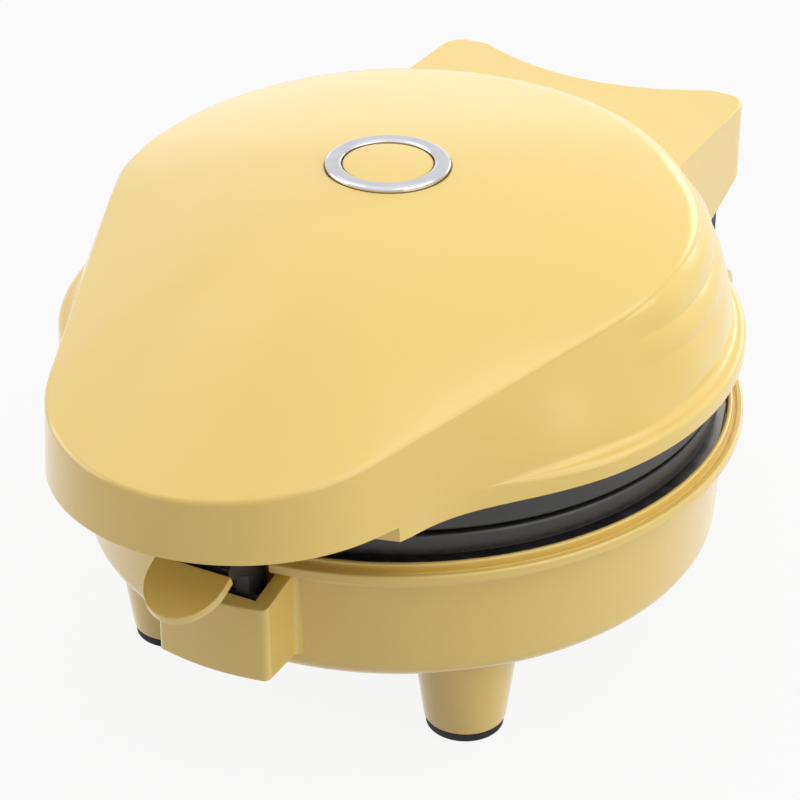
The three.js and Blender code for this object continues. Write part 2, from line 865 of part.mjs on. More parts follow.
// Heating element: an open ring of tube whose ends turn inwards
function heatingElement(centreZ) {
  const points = [];
  const pointCount = elementSteps / 2;
  for (let i = 0; i <= pointCount; i += 1) {
    const share = i / pointCount;
    const angle = Math.PI / 2 + 2 * Math.PI * mix(elementOpenTurn / 2, 1 - elementOpenTurn / 2, share);
    const fromEnd = Math.min(share, 1 - share) * pointCount;
    const pull = elementEndPull * Math.max(1 - fromEnd / elementEndSteps, 0) ** 2;
    const radius = elementRadius - pull;
    points.push(new THREE.Vector3(radius * Math.cos(angle), radius * Math.sin(angle), centreZ));
  }
  return tube(new THREE.CatmullRomCurve3(points), elementTube, elementSides, elementSteps);
}
const lowerElementZ = lowerPlateUnderZ - seatGap - elementTube;
const upperElementZ = upperPlateBackZ + seatGap + elementTube;

// Heat shields: a dish in the base and a tray in the lid
function lowerShield() {
  const flangeZ = ledgeZ + seatGap;
  const wallRadius = bowlInnerRadius - shieldWallGap;
  const flangeOuter = openingRadius - seatGap;
  const bores = joined(
    postPlaces.map(([x, y]) =>
      upright(screwRadius + screwGap, lowerShieldZ - overrun, lowerShieldZ + overrun, x, y),
    ),
  );
  const profile = [
    [shieldHoleRadius, lowerShieldZ],
    [wallRadius, lowerShieldZ],
    [wallRadius, flangeZ],
    [flangeOuter, flangeZ],
    [flangeOuter, flangeZ + shieldThickness],
    [wallRadius - shieldThickness, flangeZ + shieldThickness],
    [wallRadius - shieldThickness, lowerShieldZ + shieldThickness],
    [shieldHoleRadius, lowerShieldZ + shieldThickness],
  ];
  return turned(profile, 0, 0, shieldSteps).subtract(bores);
}

function upperShield() {
  const radius = plateRadius - upperShieldInset;
  const topZ = upperShieldZ + shieldThickness;
  const bores = joined(
    postPlaces.map(([x, y]) => upright(screwRadius + screwGap, upperShieldZ - overrun, topZ + overrun, x, y)),
  );
  const profile = [
    [0, upperShieldZ],
    [radius - shieldThickness, upperShieldZ],
    [radius - shieldThickness, upperShieldZ - upperShieldRim],
    [radius, upperShieldZ - upperShieldRim],
    [radius, topZ],
    [0, topZ],
  ];
  return turned(profile, 0, 0, shieldSteps).subtract(bores);
}

// A screw with its head at one end
function screw(x, y, headZ, tipZ) {
  const towards = Math.sign(tipZ - headZ);
  const shankZ = headZ + towards * screwHeadHeight;
  const profile = [
    [0, headZ],
    [screwHeadRadius - screwGap, headZ],
    [screwHeadRadius, headZ + towards * screwGap],
    [screwHeadRadius, shankZ],
    [screwRadius, shankZ],
    [screwRadius, tipZ - towards * screwRadius],
    [0, tipZ],
  ];
  return turned(profile, x, y, screwSteps);
}

// Base screws come up from below, with their heads sunk in the bosses
const baseHeadZ = baseUnderZ + wall - screwHeadHeight;
function baseScrews() {
  return postPlaces.map(([x, y]) => screw(x, y, baseHeadZ, lowerPlateUnderZ + screwBite));
}

function lidScrews() {
  const headZ = upperPanZ + screwGap;
  return postPlaces.map(([x, y]) =>
    screw(x, y, headZ, upperShieldZ + shieldThickness + seatGap + overrun),
  );
}

// Latch block: plan with a bowed front and rounded corners
function blockPlan() {
  const frontSideY = -blockReach + blockBow;
  const rearY = -bowlInnerRadius + wall;
  const shape = new THREE.Shape();
  shape.moveTo(-blockHalfWidth, rearY);
  shape.lineTo(-blockHalfWidth, frontSideY + blockCorner);
  shape.quadraticCurveTo(-blockHalfWidth, frontSideY, -blockHalfWidth + blockCorner, frontSideY);
  shape.quadraticCurveTo(0, -blockReach - blockBow, blockHalfWidth - blockCorner, frontSideY);
  shape.quadraticCurveTo(blockHalfWidth, frontSideY, blockHalfWidth, frontSideY + blockCorner);
  shape.lineTo(blockHalfWidth, rearY);
  return shape;
}

const blockUnderZ = baseUnderZ + blockUnderRise;
const blockFrontZ = blockUnderZ + blockFrontHeight;
const pocketFrontY = -blockReach + pocketFrontWall;
const pocketRearY = -bowlRadius + wall - pocketRearWall + bowlTaper / 2 - seatGap;
function latchBlock() {
  const rearY = -bowlInnerRadius + wall;
  const below = sideProfile(
    [
      [-blockReach - overrun, blockUnderZ],
      [rearY, blockUnderZ],
      [rearY, blockFrontZ + blockRearRise],
      [-blockReach + blockBow, blockFrontZ],
      [-blockReach - overrun, blockFrontZ],
    ],
    -blockHalfWidth - overrun,
    blockHalfWidth + overrun,
  );
  return raised(blockPlan(), blockUnderZ, rimZ).intersect(below);
}

function latchPocket() {
  return block(
    [-pocketHalfWidth, pocketFrontY, blockUnderZ + pocketFloor],
    [pocketHalfWidth, pocketRearY, rimZ + overrun],
  );
}

// Bowl with its beaded rim
function bowl() {
  const footRadius = bowlRadius - bowlTaper;
  const grooveOuter = rimRadius - rimShoulderWidth;
  const beadOuter = grooveOuter - rimGrooveWidth;
  return turned([
    [0, baseUnderZ],
    ...arc(footRadius - bowlFillet, baseUnderZ + bowlFillet, bowlFillet, 270, 360),
    [bowlRadius, rimZ - rimSideHeight - rimUnderDrop],
    [bowlRadius + rimOverhang / 2, rimZ - rimSideHeight - rimUnderBend],
    [rimRadius, rimZ - rimSideHeight],
    [rimRadius, rimZ - plateEdge],
    [rimRadius - plateEdge, rimZ],
    [grooveOuter, rimZ],
    [grooveOuter, rimZ - rimGrooveDepth],
    [beadOuter, rimZ - rimGrooveDepth],
    [beadOuter, rimZ + rimBeadRise - plateEdge / 2],
    [beadOuter - plateEdge / 2, rimZ + rimBeadRise],
    [openingRadius, rimZ + rimBeadRise],
    [openingRadius, ledgeZ],
    [bowlInnerRadius, ledgeZ],
    [footRadius - wall, baseUnderZ + bowlFillet],
    ...arc(footRadius - bowlFillet, baseUnderZ + bowlFillet, bowlFillet - wall, 0, -90),
    [0, baseFloorZ],
  ]);
}

function leg(x, y) {
  const topZ = baseUnderZ + wall / 2;
  return turned(
    [
      [0, padHeight + seatGap],
      [legTipRadius - padEdge, padHeight + seatGap],
      [legTipRadius, padHeight + seatGap + padEdge],
      ...arc(legTopRadius + legFillet, baseUnderZ - legFillet, legFillet, 180, 90, edgeSteps),
      [legTopRadius + legFillet, topZ],
      [0, topZ],
    ],
    x,
    y,
    legSteps,
  );
}

// Rear bracket of the base: a hollow shelf with two hinge ears
const bracketUnderZ = baseUnderZ + bracketUnderRise;
const bracketTopZ = bracketUnderZ + bracketHeight;
const hingeEarInnerX = hingeArmOuterX + hingeSideGap;
const hingeEarOuterX = hingeEarInnerX + hingeEarWidth;
function bracketPlan(inset) {
  const tipX = hingeEarOuterX - bracketTipInset;
  return earPlan(inset, hingeEarOuterX, bracketCornerY, tipX, bracketRearY, bracketDip);
}

function hingeEar(side) {
  const footSpread = hingeEarRadius + wall / 2;
  const outline = [
    [hingeY + footSpread, bracketTopZ - wall],
    ...arc(hingeY, hingeZ, hingeEarRadius, -hingeEarSweep, 180 + hingeEarSweep, archSteps),
    [hingeY - footSpread, bracketTopZ - wall],
  ];
  const [lowX, highX] = side > 0 ? [hingeEarInnerX, hingeEarOuterX] : [-hingeEarOuterX, -hingeEarInnerX];
  return sideProfile(outline, lowX, highX);
}

const glandZ = bracketUnderZ - wall + glandRise;
function baseHousing() {
  const bowlVoid = upright(bowlInnerRadius - bowlTaper / 2, baseFloorZ, rimZ, 0, 0, turnSteps);
  const bowlWhole = bowl();
  const bracket = raised(bracketPlan(0), bracketUnderZ, bracketTopZ, cornerSteps);
  const bowlSpace = upright(bowlRadius, baseUnderZ - overrun, rimZ, 0, 0, turnSteps);
  const bracketSpace = raised(bracketPlan(wall), bracketUnderZ - overrun, bracketTopZ - wall, cornerSteps);
  const bracketHollow = bracketSpace.subtract(bowlSpace);
  const shelf = bracket.subtract(bracketHollow);
  const ears = both(hingeEar);
  const outside = joined([shelf, ...ears, latchBlock()]).subtract(bowlVoid);
  const legs = legPlaces.map(({ x, y }) => leg(x, y));
  const bosses = postPlaces.map(([x, y]) =>
    upright(baseBossRadius, baseFloorZ - wall / 2, lowerShieldZ - seatGap, x, y),
  );
  const bores = postPlaces.map(([x, y]) =>
    upright(screwRadius + screwGap, baseUnderZ - overrun, lowerShieldZ + overrun, x, y),
  );
  const sinks = postPlaces.map(([x, y]) =>
    upright(screwHeadRadius + screwGap, baseUnderZ - overrun, baseHeadZ + screwHeadHeight + seatGap, x, y),
  );
  const padBores = legPlaces.map(({ x, y }) =>
    upright(padPlugRadius + seatGap, padHeight - overrun, padHeight + padPlugHeight + 2 * seatGap, x, y),
  );
  const farX = hingeEarOuterX + overrun;
  const pinBore = crossBar(hingePinRadius + runGap, -farX, farX, hingeY, hingeZ);
  const latchBore = crossBar(
    latchPinRadius + runGap,
    -blockHalfWidth + wall / 2,
    blockHalfWidth - wall / 2,
    -latchPinY,
    latchPinZ,
  );
  const [nearY, farY] = [bowlInnerRadius - overrun, bracketRearY + overrun];
  const glandBore = alongY(glandNeckRadius + seatGap, nearY, farY, glandZ);
  return joined([bowlWhole, outside, ...legs, ...bosses])
    .subtract(joined([...bores, ...sinks, ...padBores]))
    .subtract(pinBore)
    .subtract(latchPocket())
    .subtract(latchBore)
    .subtract(glandBore);
}

// A round bar along Y, at X zero
function alongY(radius, lowY, highY, z) {
  const bar = new THREE.CylinderGeometry(radius, radius, highY - lowY, rodSteps);
  return solid(bar.translate(0, (lowY + highY) / 2, z));
}

// Cord gland: collar inside the bowl, neck through both walls and a short tail
function cordGland() {
  const collarY = bowlInnerRadius - bowlTaper - glandCollarGap;
  const shoulderY = bracketRearY - bracketDip + seatGap;
  const tailY = bracketRearY + glandTailReach;
  const profile = [
    [glandBoreRadius, collarY - glandCollarWidth],
    [glandCollarRadius, collarY - glandCollarWidth],
    [glandCollarRadius, collarY],
    [glandNeckRadius, collarY],
    [glandNeckRadius, shoulderY],
    [glandCollarRadius, shoulderY],
    [glandCollarRadius, shoulderY + glandCollarWidth],
    [glandNeckRadius, shoulderY + 2 * glandCollarWidth],
    [glandTailRadius, tailY],
    [glandBoreRadius, tailY],
  ];
  const points = profile.map(([radius, along]) => new THREE.Vector2(radius, along));
  points.push(points[0].clone());
  return solid(new THREE.LatheGeometry(points, rodSteps).translate(0, 0, glandZ));
}

// Rubber pad with a plug that sits in the leg
function footPad(x, y) {
  return turned(
    [
      [0, 0],
      [padRadius - padEdge, 0],
      [padRadius, padEdge],
      [padRadius, padHeight],
      [padPlugRadius, padHeight],
      [padPlugRadius, padHeight + padPlugHeight],
      [0, padHeight + padPlugHeight],
    ],
    x,
    y,
    rodSteps,
  );
}

// Hinge arm: hub on the pin, web up into the rear block and a foot screwed under its roof
function hingeArm(side) {
  const outline = [
    [hingeY + hingeArmRear, hingeFootTopZ],
    [hingeY - hingeArmFront, hingeFootTopZ],
    ...arc(hingeY, hingeZ, hingeHubRadius, 180 - hingeHubSweep, 360 + hingeHubSweep, archSteps),
    [hingeY + hingeArmRear, hingeZ + 2 * hingeHubRadius],
  ];
  const innerX = hingeArmOuterX - hingeArmWidth;
  const [lowX, highX] = side > 0 ? [innerX, hingeArmOuterX] : [-hingeArmOuterX, -innerX];
  const [footNearX, footFarX] = [innerX - hingeFootReach, innerX + seatGap];
  const footX = side > 0 ? [footNearX, footFarX] : [-footFarX, -footNearX];
  const middleY = hingeY - hingeArmFront / 2;
  const halfFoot = hingeFootInset / 2 + screwRadius + postRadius;
  const foot = block(
    [footX[0], middleY - halfFoot, hingeFootTopZ - hingeFootHeight],
    [footX[1], middleY + halfFoot, hingeFootTopZ],
  );
  const bores = joined(
    hingeScrewPlaces.map(([x, y]) =>
      upright(screwRadius + screwGap, hingeFootTopZ - overrun, hingeFootTopZ + overrun, x, y),
    ),
  );
  const pinBore = crossBar(hingePinRadius + runGap, -hingeEarOuterX, hingeEarOuterX, hingeY, hingeZ);
  return sideProfile(outline, lowX, highX).add(foot).subtract(pinBore).subtract(bores);
}

function hingePin(side) {
  const innerX = hingeArmOuterX - hingeArmWidth - seatGap;
  const outerX = hingeEarOuterX - seatGap;
  return side > 0
    ? crossBar(hingePinRadius, innerX, outerX, hingeY, hingeZ)
    : crossBar(hingePinRadius, -outerX, -innerX, hingeY, hingeZ);
}

function hingeScrews() {
  const headZ = hingeFootTopZ - hingeFootHeight - screwHeadHeight - seatGap;
  return hingeScrewPlaces.map(([x, y]) => screw(x, y, headZ, earRoofZ - 2 * seatGap));
}

// Places that the lever, its hook, the keeper and the thumb tab share
const keeperTopZ = lidUnderZ + keeperHeight;
const hookUnderZ = keeperTopZ + seatGap;
const keeperFrontY = crossWallFrontY + seatGap + keeperDepth;
const hookTipY = keeperFrontY + seatGap;
const hookRearY = hookTipY + hookReach;
const hookFrontY = hookRearY + hookThickness;
const tabChordY = hookFrontY + seatGap + tabThickness * Math.sin(degrees(tabTilt));
const tabTopZ = latchPinZ + tabRise;
const shelfTopZ = tabTopZ + seatGap;

// Side outline of the latch lever: tail, hub, body, shelf and hook
function latchLever() {
  const bodyBackY = -latchPinY + leverBack;
  const bodyFrontY = -latchPinY - leverFront;
  const bodyTopZ = latchPinZ + leverBodyHeight;
  const tailZ = latchPinZ - leverTail;
  const body = sideProfile(
    [
      [bodyFrontY + leverTailInset, tailZ],
      [bodyFrontY + leverTailInset + leverTailThickness, tailZ],
      [bodyFrontY + leverTailInset + leverTailThickness, latchPinZ - leverHubRadius],
      [bodyBackY, latchPinZ - leverHubRadius / 2],
      [bodyBackY, bodyTopZ],
      [bodyBackY - leverShelfThickness, bodyTopZ + leverShelfThickness],
      [-hookRearY, shelfTopZ + leverShelfThickness / 2],
      [-hookFrontY, shelfTopZ],
      [-hookFrontY, shelfTopZ - leverShelfThickness],
      [bodyFrontY, shelfTopZ - 2 * leverShelfThickness],
      [bodyFrontY, latchPinZ + leverHubRadius / 2],
      [bodyFrontY + leverTailInset, latchPinZ],
    ],
    -leverHalfWidth,
    leverHalfWidth,
  );
  const hook = sideProfile(
    [
      [-hookRearY, shelfTopZ - leverShelfThickness / 2],
      [-hookRearY, hookUnderZ],
      [-hookTipY, hookUnderZ],
      [-hookTipY, hookUnderZ + hookHeight / 2],
      [-hookRearY, hookUnderZ + hookHeight],
      [-hookFrontY, hookUnderZ + hookHeight],
      [-hookFrontY, shelfTopZ - leverShelfThickness / 2],
    ],
    -hookHalfWidth,
    hookHalfWidth,
  );
  const tongue = solid(
    new THREE.BoxGeometry(2 * tongueHalfWidth, tongueLength + leverShelfThickness, tongueThickness)
      .translate(0, -(tongueLength - leverShelfThickness) / 2, -tabThickness - seatGap - tongueThickness / 2)
      .rotateX(degrees(tabTilt))
      .translate(0, -tabChordY, tabTopZ),
  );
  const farX = leverHalfWidth + overrun;
  const pinBore = crossBar(latchPinRadius + runGap, -farX, farX, -latchPinY, latchPinZ);
  return body.add(hook).add(tongue).subtract(pinBore);
}

// Thumb tab: a D-shaped plate, tilted down towards the front
function thumbTab() {
  const shape = new THREE.Shape();
  shape.moveTo(-tabHalfWidth, 0);
  shape.lineTo(tabHalfWidth, 0);
  shape.lineTo(tabHalfWidth, -tabStraight);
  shape.absellipse(0, -tabStraight, tabHalfWidth, tabLength - tabStraight, 0, -Math.PI, true, 0);
  const settings = { depth: tabThickness, bevelEnabled: false, curveSegments: tabSteps };
  const plate = new THREE.ExtrudeGeometry(shape, settings)
    .translate(0, 0, -tabThickness)
    .rotateX(degrees(tabTilt))
    .translate(0, -tabChordY, tabTopZ);
  return solid(plate);
}

function latchKeeper() {
  const backY = -crossWallFrontY - seatGap;
  const topZ = keeperTopZ;
  return sideProfile(
    [
      [backY, topZ],
      [-keeperFrontY, topZ],
      [-keeperFrontY, topZ - keeperHeight / 2],
      [-keeperFrontY + keeperDepth / 2, lidUnderZ],
      [backY, lidUnderZ],
    ],
    -keeperHalfWidth,
    keeperHalfWidth,
  );
}

function latchPin() {
  const reach = blockHalfWidth - wall / 2 - seatGap;
  return crossBar(latchPinRadius, -reach, reach, -latchPinY, latchPinZ);
}

// Latch spring: a coil between the lever's tail and the pocket's rear wall
function latchSpring() {
  const tailY = -latchPinY - leverFront + leverTailInset + leverTailThickness;
  const startY = tailY + seatGap + springWire / 2;
  const endY = pocketRearY - seatGap - springWire / 2;
  const points = [];
  const last = springTurns * springTurnSteps;
  for (let i = 0; i <= last; i += 1) {
    const angle = (2 * Math.PI * i) / springTurnSteps;
    const y = mix(startY, endY, i / last);
    const z = latchPinZ - leverTail + springRadius + springWire;
    points.push(new THREE.Vector3(springRadius * Math.cos(angle), y, z + springRadius * Math.sin(angle)));
  }
  return tube(new THREE.CatmullRomCurve3(points), springWire / 2, springSides, last);
}

// Thermostat disc with two tabs, under the lower plate
function thermostat() {
  const topZ = lowerPlateUnderZ - seatGap;
  const bodyZ = topZ - thermostatHeight;
  const body = turned(
    [
      [0, bodyZ],
      [thermostatRadius - fuseTip, bodyZ],
      [thermostatRadius - fuseTip, bodyZ + fuseTip],
      [thermostatRadius, bodyZ + fuseTip],
      [thermostatRadius, topZ],
      [0, topZ],
    ],
    0,
    0,
    rodSteps,
  );
  const tabs = both((side) => {
    const x = side * leadSpacing;
    return block(
      [x - thermostatTabWidth / 4, -thermostatTabWidth / 2, bodyZ - thermostatTabReach],
      [x + thermostatTabWidth / 4 - thermostatTabThickness, thermostatTabWidth / 2, bodyZ + fuseTip / 2],
    );
  });
  return joined([body, ...tabs]);
}

// Thermal fuse, a small capsule clipped under the lower plate
function thermalFuse() {
  const z = lowerPlateUnderZ - seatGap - fuseRadius;
  const half = fuseLength / 2;
  const barrel = crossBar(fuseRadius, -half, half, -fuseOffset, z);
  const ends = crossBar(fuseRadius / 2, -half - fuseTip, half + fuseTip, -fuseOffset, z);
  return barrel.add(ends);
}

// Terminal block on the bowl's floor, with a bore for each lead
function terminalBlock() {
  const lowZ = baseFloorZ + seatGap;
  const body = block(
    [-terminalWidth / 2, terminalY - terminalDepth / 2, lowZ],
    [terminalWidth / 2, terminalY + terminalDepth / 2, lowZ + terminalHeight],
  );
  const bores = both((side) => {
    const bar = new THREE.CylinderGeometry(terminalBore, terminalBore, terminalDepth + overrun, screwSteps);
    return solid(bar.translate(side * leadSpacing, terminalY, lowZ + terminalHeight / 2));
  });
  return body.subtract(joined(bores));
}

// Insulated lead from the terminal block to a thermostat tab, which it meets from below
const leadRouteShares = [
  [0, 0],
  [0.3, 0],
  [0.7, 0.04],
  [0.95, 0.3],
  [1, 0.75],
  [1, 1],
];
function lead(side) {
  const x = side * leadSpacing;
  const blockZ = baseFloorZ + seatGap + terminalHeight / 2;
  const tabZ = lowerPlateUnderZ - seatGap - thermostatHeight - thermostatTabReach;
  const startY = terminalY - terminalDepth / 2 - seatGap;
  const endZ = tabZ - seatGap;
  const points = leadRouteShares.map(
    ([along, up]) => new THREE.Vector3(x, mix(startY, 0, along), mix(blockZ, endZ, up)),
  );
  return tube(new THREE.CatmullRomCurve3(points), leadRadius, leadSides, leadSteps);
}

// Assembly
const base = new THREE.Group();
base.add(piece('base_housing', baseHousing(), butterPlastic()));
legPlaces.forEach(({ name, x, y }) => base.add(piece(`foot_pad_${name}`, footPad(x, y), rubber())));
base.add(piece('cord_gland', cordGland(), blackPlastic()));
base.add(piece('lower_heat_shield', lowerShield(), aluminiumSheet()));
base.add(piece('lower_plate', lowerPlate(), plateCoating()));
base.add(piece('lower_element', heatingElement(lowerElementZ), steel()));
baseScrews().forEach((made, i) => base.add(piece(`base_screw_${i + 1}`, made, steel())));
base.add(piece('thermostat', thermostat(), aluminiumSheet()));
base.add(piece('thermal_fuse', thermalFuse(), steel()));
base.add(piece('terminal_block', terminalBlock(), ceramic()));
base.add(piece('lead_left', lead(-1), leadCover()));
base.add(piece('lead_right', lead(1), leadCover()));
base.add(piece('hinge_pin_left', hingePin(-1), steel()));
base.add(piece('hinge_pin_right', hingePin(1), steel()));
base.add(piece('latch_pin', latchPin(), steel()));
base.add(piece('latch_spring', latchSpring(), steel()));

const lid = new THREE.Group();
lid.add(piece('lid_cover', lidCover(), butterPlastic()));
lid.add(piece('ring_trim', ringTrim(), chrome()));
lid.add(piece('ring_disc', ringDisc(), butterPlastic()));
lid.add(piece('upper_plate', upperPlate(), plateCoating()));
lid.add(piece('upper_element', heatingElement(upperElementZ), steel()));
lid.add(piece('upper_heat_shield', upperShield(), aluminiumSheet()));
lidScrews().forEach((made, i) => lid.add(piece(`plate_screw_${i + 1}`, made, steel())));
lid.add(piece('hinge_arm_left', hingeArm(-1), blackPlastic()));
lid.add(piece('hinge_arm_right', hingeArm(1), blackPlastic()));
hingeScrews().forEach((made, i) => lid.add(piece(`hinge_screw_${i + 1}`, made, steel())));
lid.add(piece('latch_keeper', latchKeeper(), blackPlastic()));

const latch = new THREE.Group();
latch.add(piece('latch_lever', latchLever(), blackPlastic()));
latch.add(piece('thumb_tab', thumbTab(), butterPlastic()));

const grill = new THREE.Group();
grill.add(base, lid, latch);

export default grill;
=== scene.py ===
"""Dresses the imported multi-grill: fine mouldings, plates, trim, fittings and their finishes.

Sizes are millimetres until a piece is finished, and metres from then on.
"""
import math

import bmesh
import bpy
from mathutils import Matrix, Vector


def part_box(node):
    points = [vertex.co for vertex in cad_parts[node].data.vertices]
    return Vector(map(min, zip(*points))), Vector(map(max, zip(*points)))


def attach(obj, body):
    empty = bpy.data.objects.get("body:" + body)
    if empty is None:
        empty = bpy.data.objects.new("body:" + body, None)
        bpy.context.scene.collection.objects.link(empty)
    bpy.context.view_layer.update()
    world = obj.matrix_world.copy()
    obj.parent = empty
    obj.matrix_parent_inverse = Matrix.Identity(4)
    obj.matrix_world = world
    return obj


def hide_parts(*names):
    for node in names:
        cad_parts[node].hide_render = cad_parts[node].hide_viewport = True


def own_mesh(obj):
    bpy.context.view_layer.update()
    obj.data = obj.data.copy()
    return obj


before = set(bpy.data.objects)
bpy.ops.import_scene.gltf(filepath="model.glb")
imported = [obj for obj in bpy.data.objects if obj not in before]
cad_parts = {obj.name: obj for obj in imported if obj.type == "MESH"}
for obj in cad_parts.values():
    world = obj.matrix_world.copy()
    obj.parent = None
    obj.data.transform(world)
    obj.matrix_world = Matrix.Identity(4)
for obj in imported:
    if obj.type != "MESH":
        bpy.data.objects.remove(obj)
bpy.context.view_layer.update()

MM = 0.001

# Clearances and walls
SEAT_GAP = 0.3
RUN_GAP = 0.12
OVERRUN = 6
THROUGH = 50
ROOT_DEPTH = 1.2
MERGE_DISTANCE = 1e-4
NEARLY_STRAIGHT = 88
WALL = 2.4

# Facets round the turned forms
WIDE_STEPS = 192
RING_STEPS = 160
DISC_STEPS = 120
FOOT_STEPS = 72
BOSS_STEPS = 48
BAR_STEPS = 32

# Cooking plates
PLATE_RADIUS = 70
PLATE_RIM_WIDTH = 6
PAN_DEPTH = 8
PAN_DRAFT = 2
PLATE_FLOOR = 4
PLATE_MEETING_GAP = 0.8
LOWER_RIM_HEIGHT = 4.9
UPPER_RIM_HEIGHT = 9
RIB_PITCH = 10
RIB_WIDTH = 3.2
RIB_CREST_WIDTH = 1.8
RIB_HEIGHT = 2.6
RIB_END_GAP = 1.5
RIB_ROOT = 1.5
RIB_FOOT_Z = 0.35
SHIELD_THICKNESS = 0.8
ELEMENT_ROOM = 8
STUD_BITE = 2
POST_BITE = 6
POST_BORE_DEPTH = 8

# Heights
PAD_HEIGHT = 1.9
BASE_UNDER_Z = 22.6
RIM_Z = 52.1
PARTING_Z = 58.7
LID_UNDER_Z = 67.2

# Bowl
OPENING_RADIUS = 72
RIM_RADIUS = 75.5
RIM_LIP_WIDTH = 1.5
RIM_LIP_HEIGHT = 2.2
GROOVE_WIDTH = 0.9
GROOVE_DEPTH = 0.7
BEAD_HEIGHT = 1.4
BOWL_RADIUS = 71.8
BOWL_TAPER = 1.4
BOWL_FILLET = 4.5
LEDGE_Z = RIM_Z - 1.6
BOWL_INNER_RADIUS = BOWL_RADIUS - WALL
BASE_FLOOR_Z = BASE_UNDER_Z + WALL
SHIELD_Z = BASE_FLOOR_Z + 11.9

# Legs and pads
LEG_X = 36.7
LEG_Y = 40.2
LEG_TOP_RADIUS = 11.3
LEG_TIP_RADIUS = 8.9
LEG_FILLET = 1.8
LEG_TIP_EDGE = 0.5
PAD_RADIUS = 8.4
TREAD_DEPTH = 0.35
PLUG_RADIUS = 3
PLUG_HEIGHT = 4
TREAD = (
    (2.6, TREAD_DEPTH), (3, 0), (4.4, 0), (4.6, TREAD_DEPTH), (5, TREAD_DEPTH), (5.2, 0),
)

# Lid wall
FLANGE_RADIUS = 75
FLANGE_HEIGHT = 4.4
FLANGE_EDGE = 1.5
FLANGE_LOW_EDGE = 0.45
FLANGE_LEDGE = 3.3
LEDGE_FILLET = 1.8
LID_MOUTH_GAP = 0.6

# Terraces of the lid, as (height, lean), and where they and the flange run out
TERRACES = ((10.6, 2.212), (5.6, 2.37), (7.6, 3.318))
TERRACE_CURVE = 2.2
TERRACE_TOP_LEAN = 40
TERRACE_TOP_Y = (50, 22)
SQUEEZE_SHARE = 0.25
FLANK_BLEND = 9
FLANK_BLEND_START = 30
FLANK_BLEND_FADE = 14
TERRACES_END_Y = (-3, -22)
FLANGE_END_Y = (-29, -60)
PLAIN_WALL_CURVE = 1.12

# Lid cap
REAR_RADIUS = 64
NOSE_RADIUS = 39.5
NOSE_REACH = 66.5
CAP_DRAFT = 1.7
CAP_SIDE_Z = 97.7
NOSE_DROP = 14.2
REAR_RISE = 5.2
CAP_TOP_Z = 109.6
CAP_EDGE = 0.8
CAP_SHOULDER = 9.4
SHOULDER_SPREAD = 0.8
NOSE_UNDERCUT = 3.3
NOSE_TIP = NOSE_REACH + NOSE_RADIUS

# Crown of the lid: how far it lies under its top, as terms (power of x, power of y, size)
CROWN_SPAN = 100
CROWN_TERMS = (
    (2, 0, 14.05), (0, 2, 21.85), (0, 3, -11.5), (2, 1, -24.94), (4, 0, -0.6),
    (0, 4, -3.47), (2, 2, 7.17), (2, 3, 26.7), (4, 1, 8.14), (0, 5, 3.91),
)

# Cross wall behind the nose
CROSS_END_Y = 76
CROSS_RADIUS = 143
CROSS_HEIGHT = 15

# Ring and disc
RING_Y = -6.1
RING_RADIUS = 13.3
RING_WIDTH = 3.4
RING_HEIGHT = 1.9
RING_RECESS = 1.5
RING_GROOVE = 0.3
RING_SEAT_CHAMFER = 0.35
DISC_RISE = 0.3
DISC_SHARES = (0.93, 0.75, 0.5, 0.25, 0)

# Rear block of the lid
EAR_TIP_X = 29.5
EAR_TIP_Y = 101.6
EAR_HALF_WIDTH = 39.6
EAR_CORNER_Y = 94.5
EAR_DIP = 8.2
EAR_TOP_Z = LID_UNDER_Z + 22.6
EAR_EDGE = 0.8
EAR_UNDER_SLOPE = 1 / 3
EAR_LEVEL_DEPTH = 15
EAR_ROOF_Z = EAR_TOP_Z - WALL

# Hinge
HINGE_Y = 86.5
HINGE_Z = 45.5
HINGE_PIN_RADIUS = 2
HUB_RADIUS = 5.4
HINGE_EAR_RADIUS = 5.5
HINGE_EAR_X = (37.4, 42)
ARM_X = (29.3, 36.9)
ARM_FRONT = 6.5
ARM_REAR = 5
ARM_FOOT_REACH = 8
ARM_FOOT_HEIGHT = 2.4
HINGE_SCREW_SPREAD = 4.8
HINGE_BOSS_DEPTH = 4
ARM_TOP_Z = EAR_ROOF_Z - HINGE_BOSS_DEPTH - SEAT_GAP

# Bracket of the base
BRACKET_Z = (24.6, 35.2)
BRACKET_REAR_Y = 101.6
BRACKET_TIP_X = 31
BRACKET_CORNER_Y = 91
BRACKET_DIP = 8.4

# Cord gland
GLAND_Z = 30.2
GLAND_NECK = 3
GLAND_BORE = 2.1
GLAND_HOLE_Y = (60, 110)
GLAND_COLLAR = 4.3
GLAND_COLLAR_WIDTH = 2
GLAND_TAIL = 2.9
GLAND_RIDGE = 2.95
GLAND_VALLEY = 2.55
GLAND_RIDGES = 4

# Latch block
BLOCK_HALF_WIDTH = 13
BLOCK_REACH = 83.7
BLOCK_BOW = 1.1
BLOCK_CORNER = 2
BLOCK_UNDER_Z = 28.5
BLOCK_FRONT_Z = 45.9
BLOCK_REAR_RISE = 3.4
BLOCK_ROOT_FILLET = 1.4
BLOCK_ROOT_Y = -71.6
BLOCK_EDGES_END_Y = -71
BLOCK_EDGE = 0.35
POCKET_HALF_WIDTH = 9.5
POCKET_Y = (-80.4, -70.9)
POCKET_FLOOR = 3

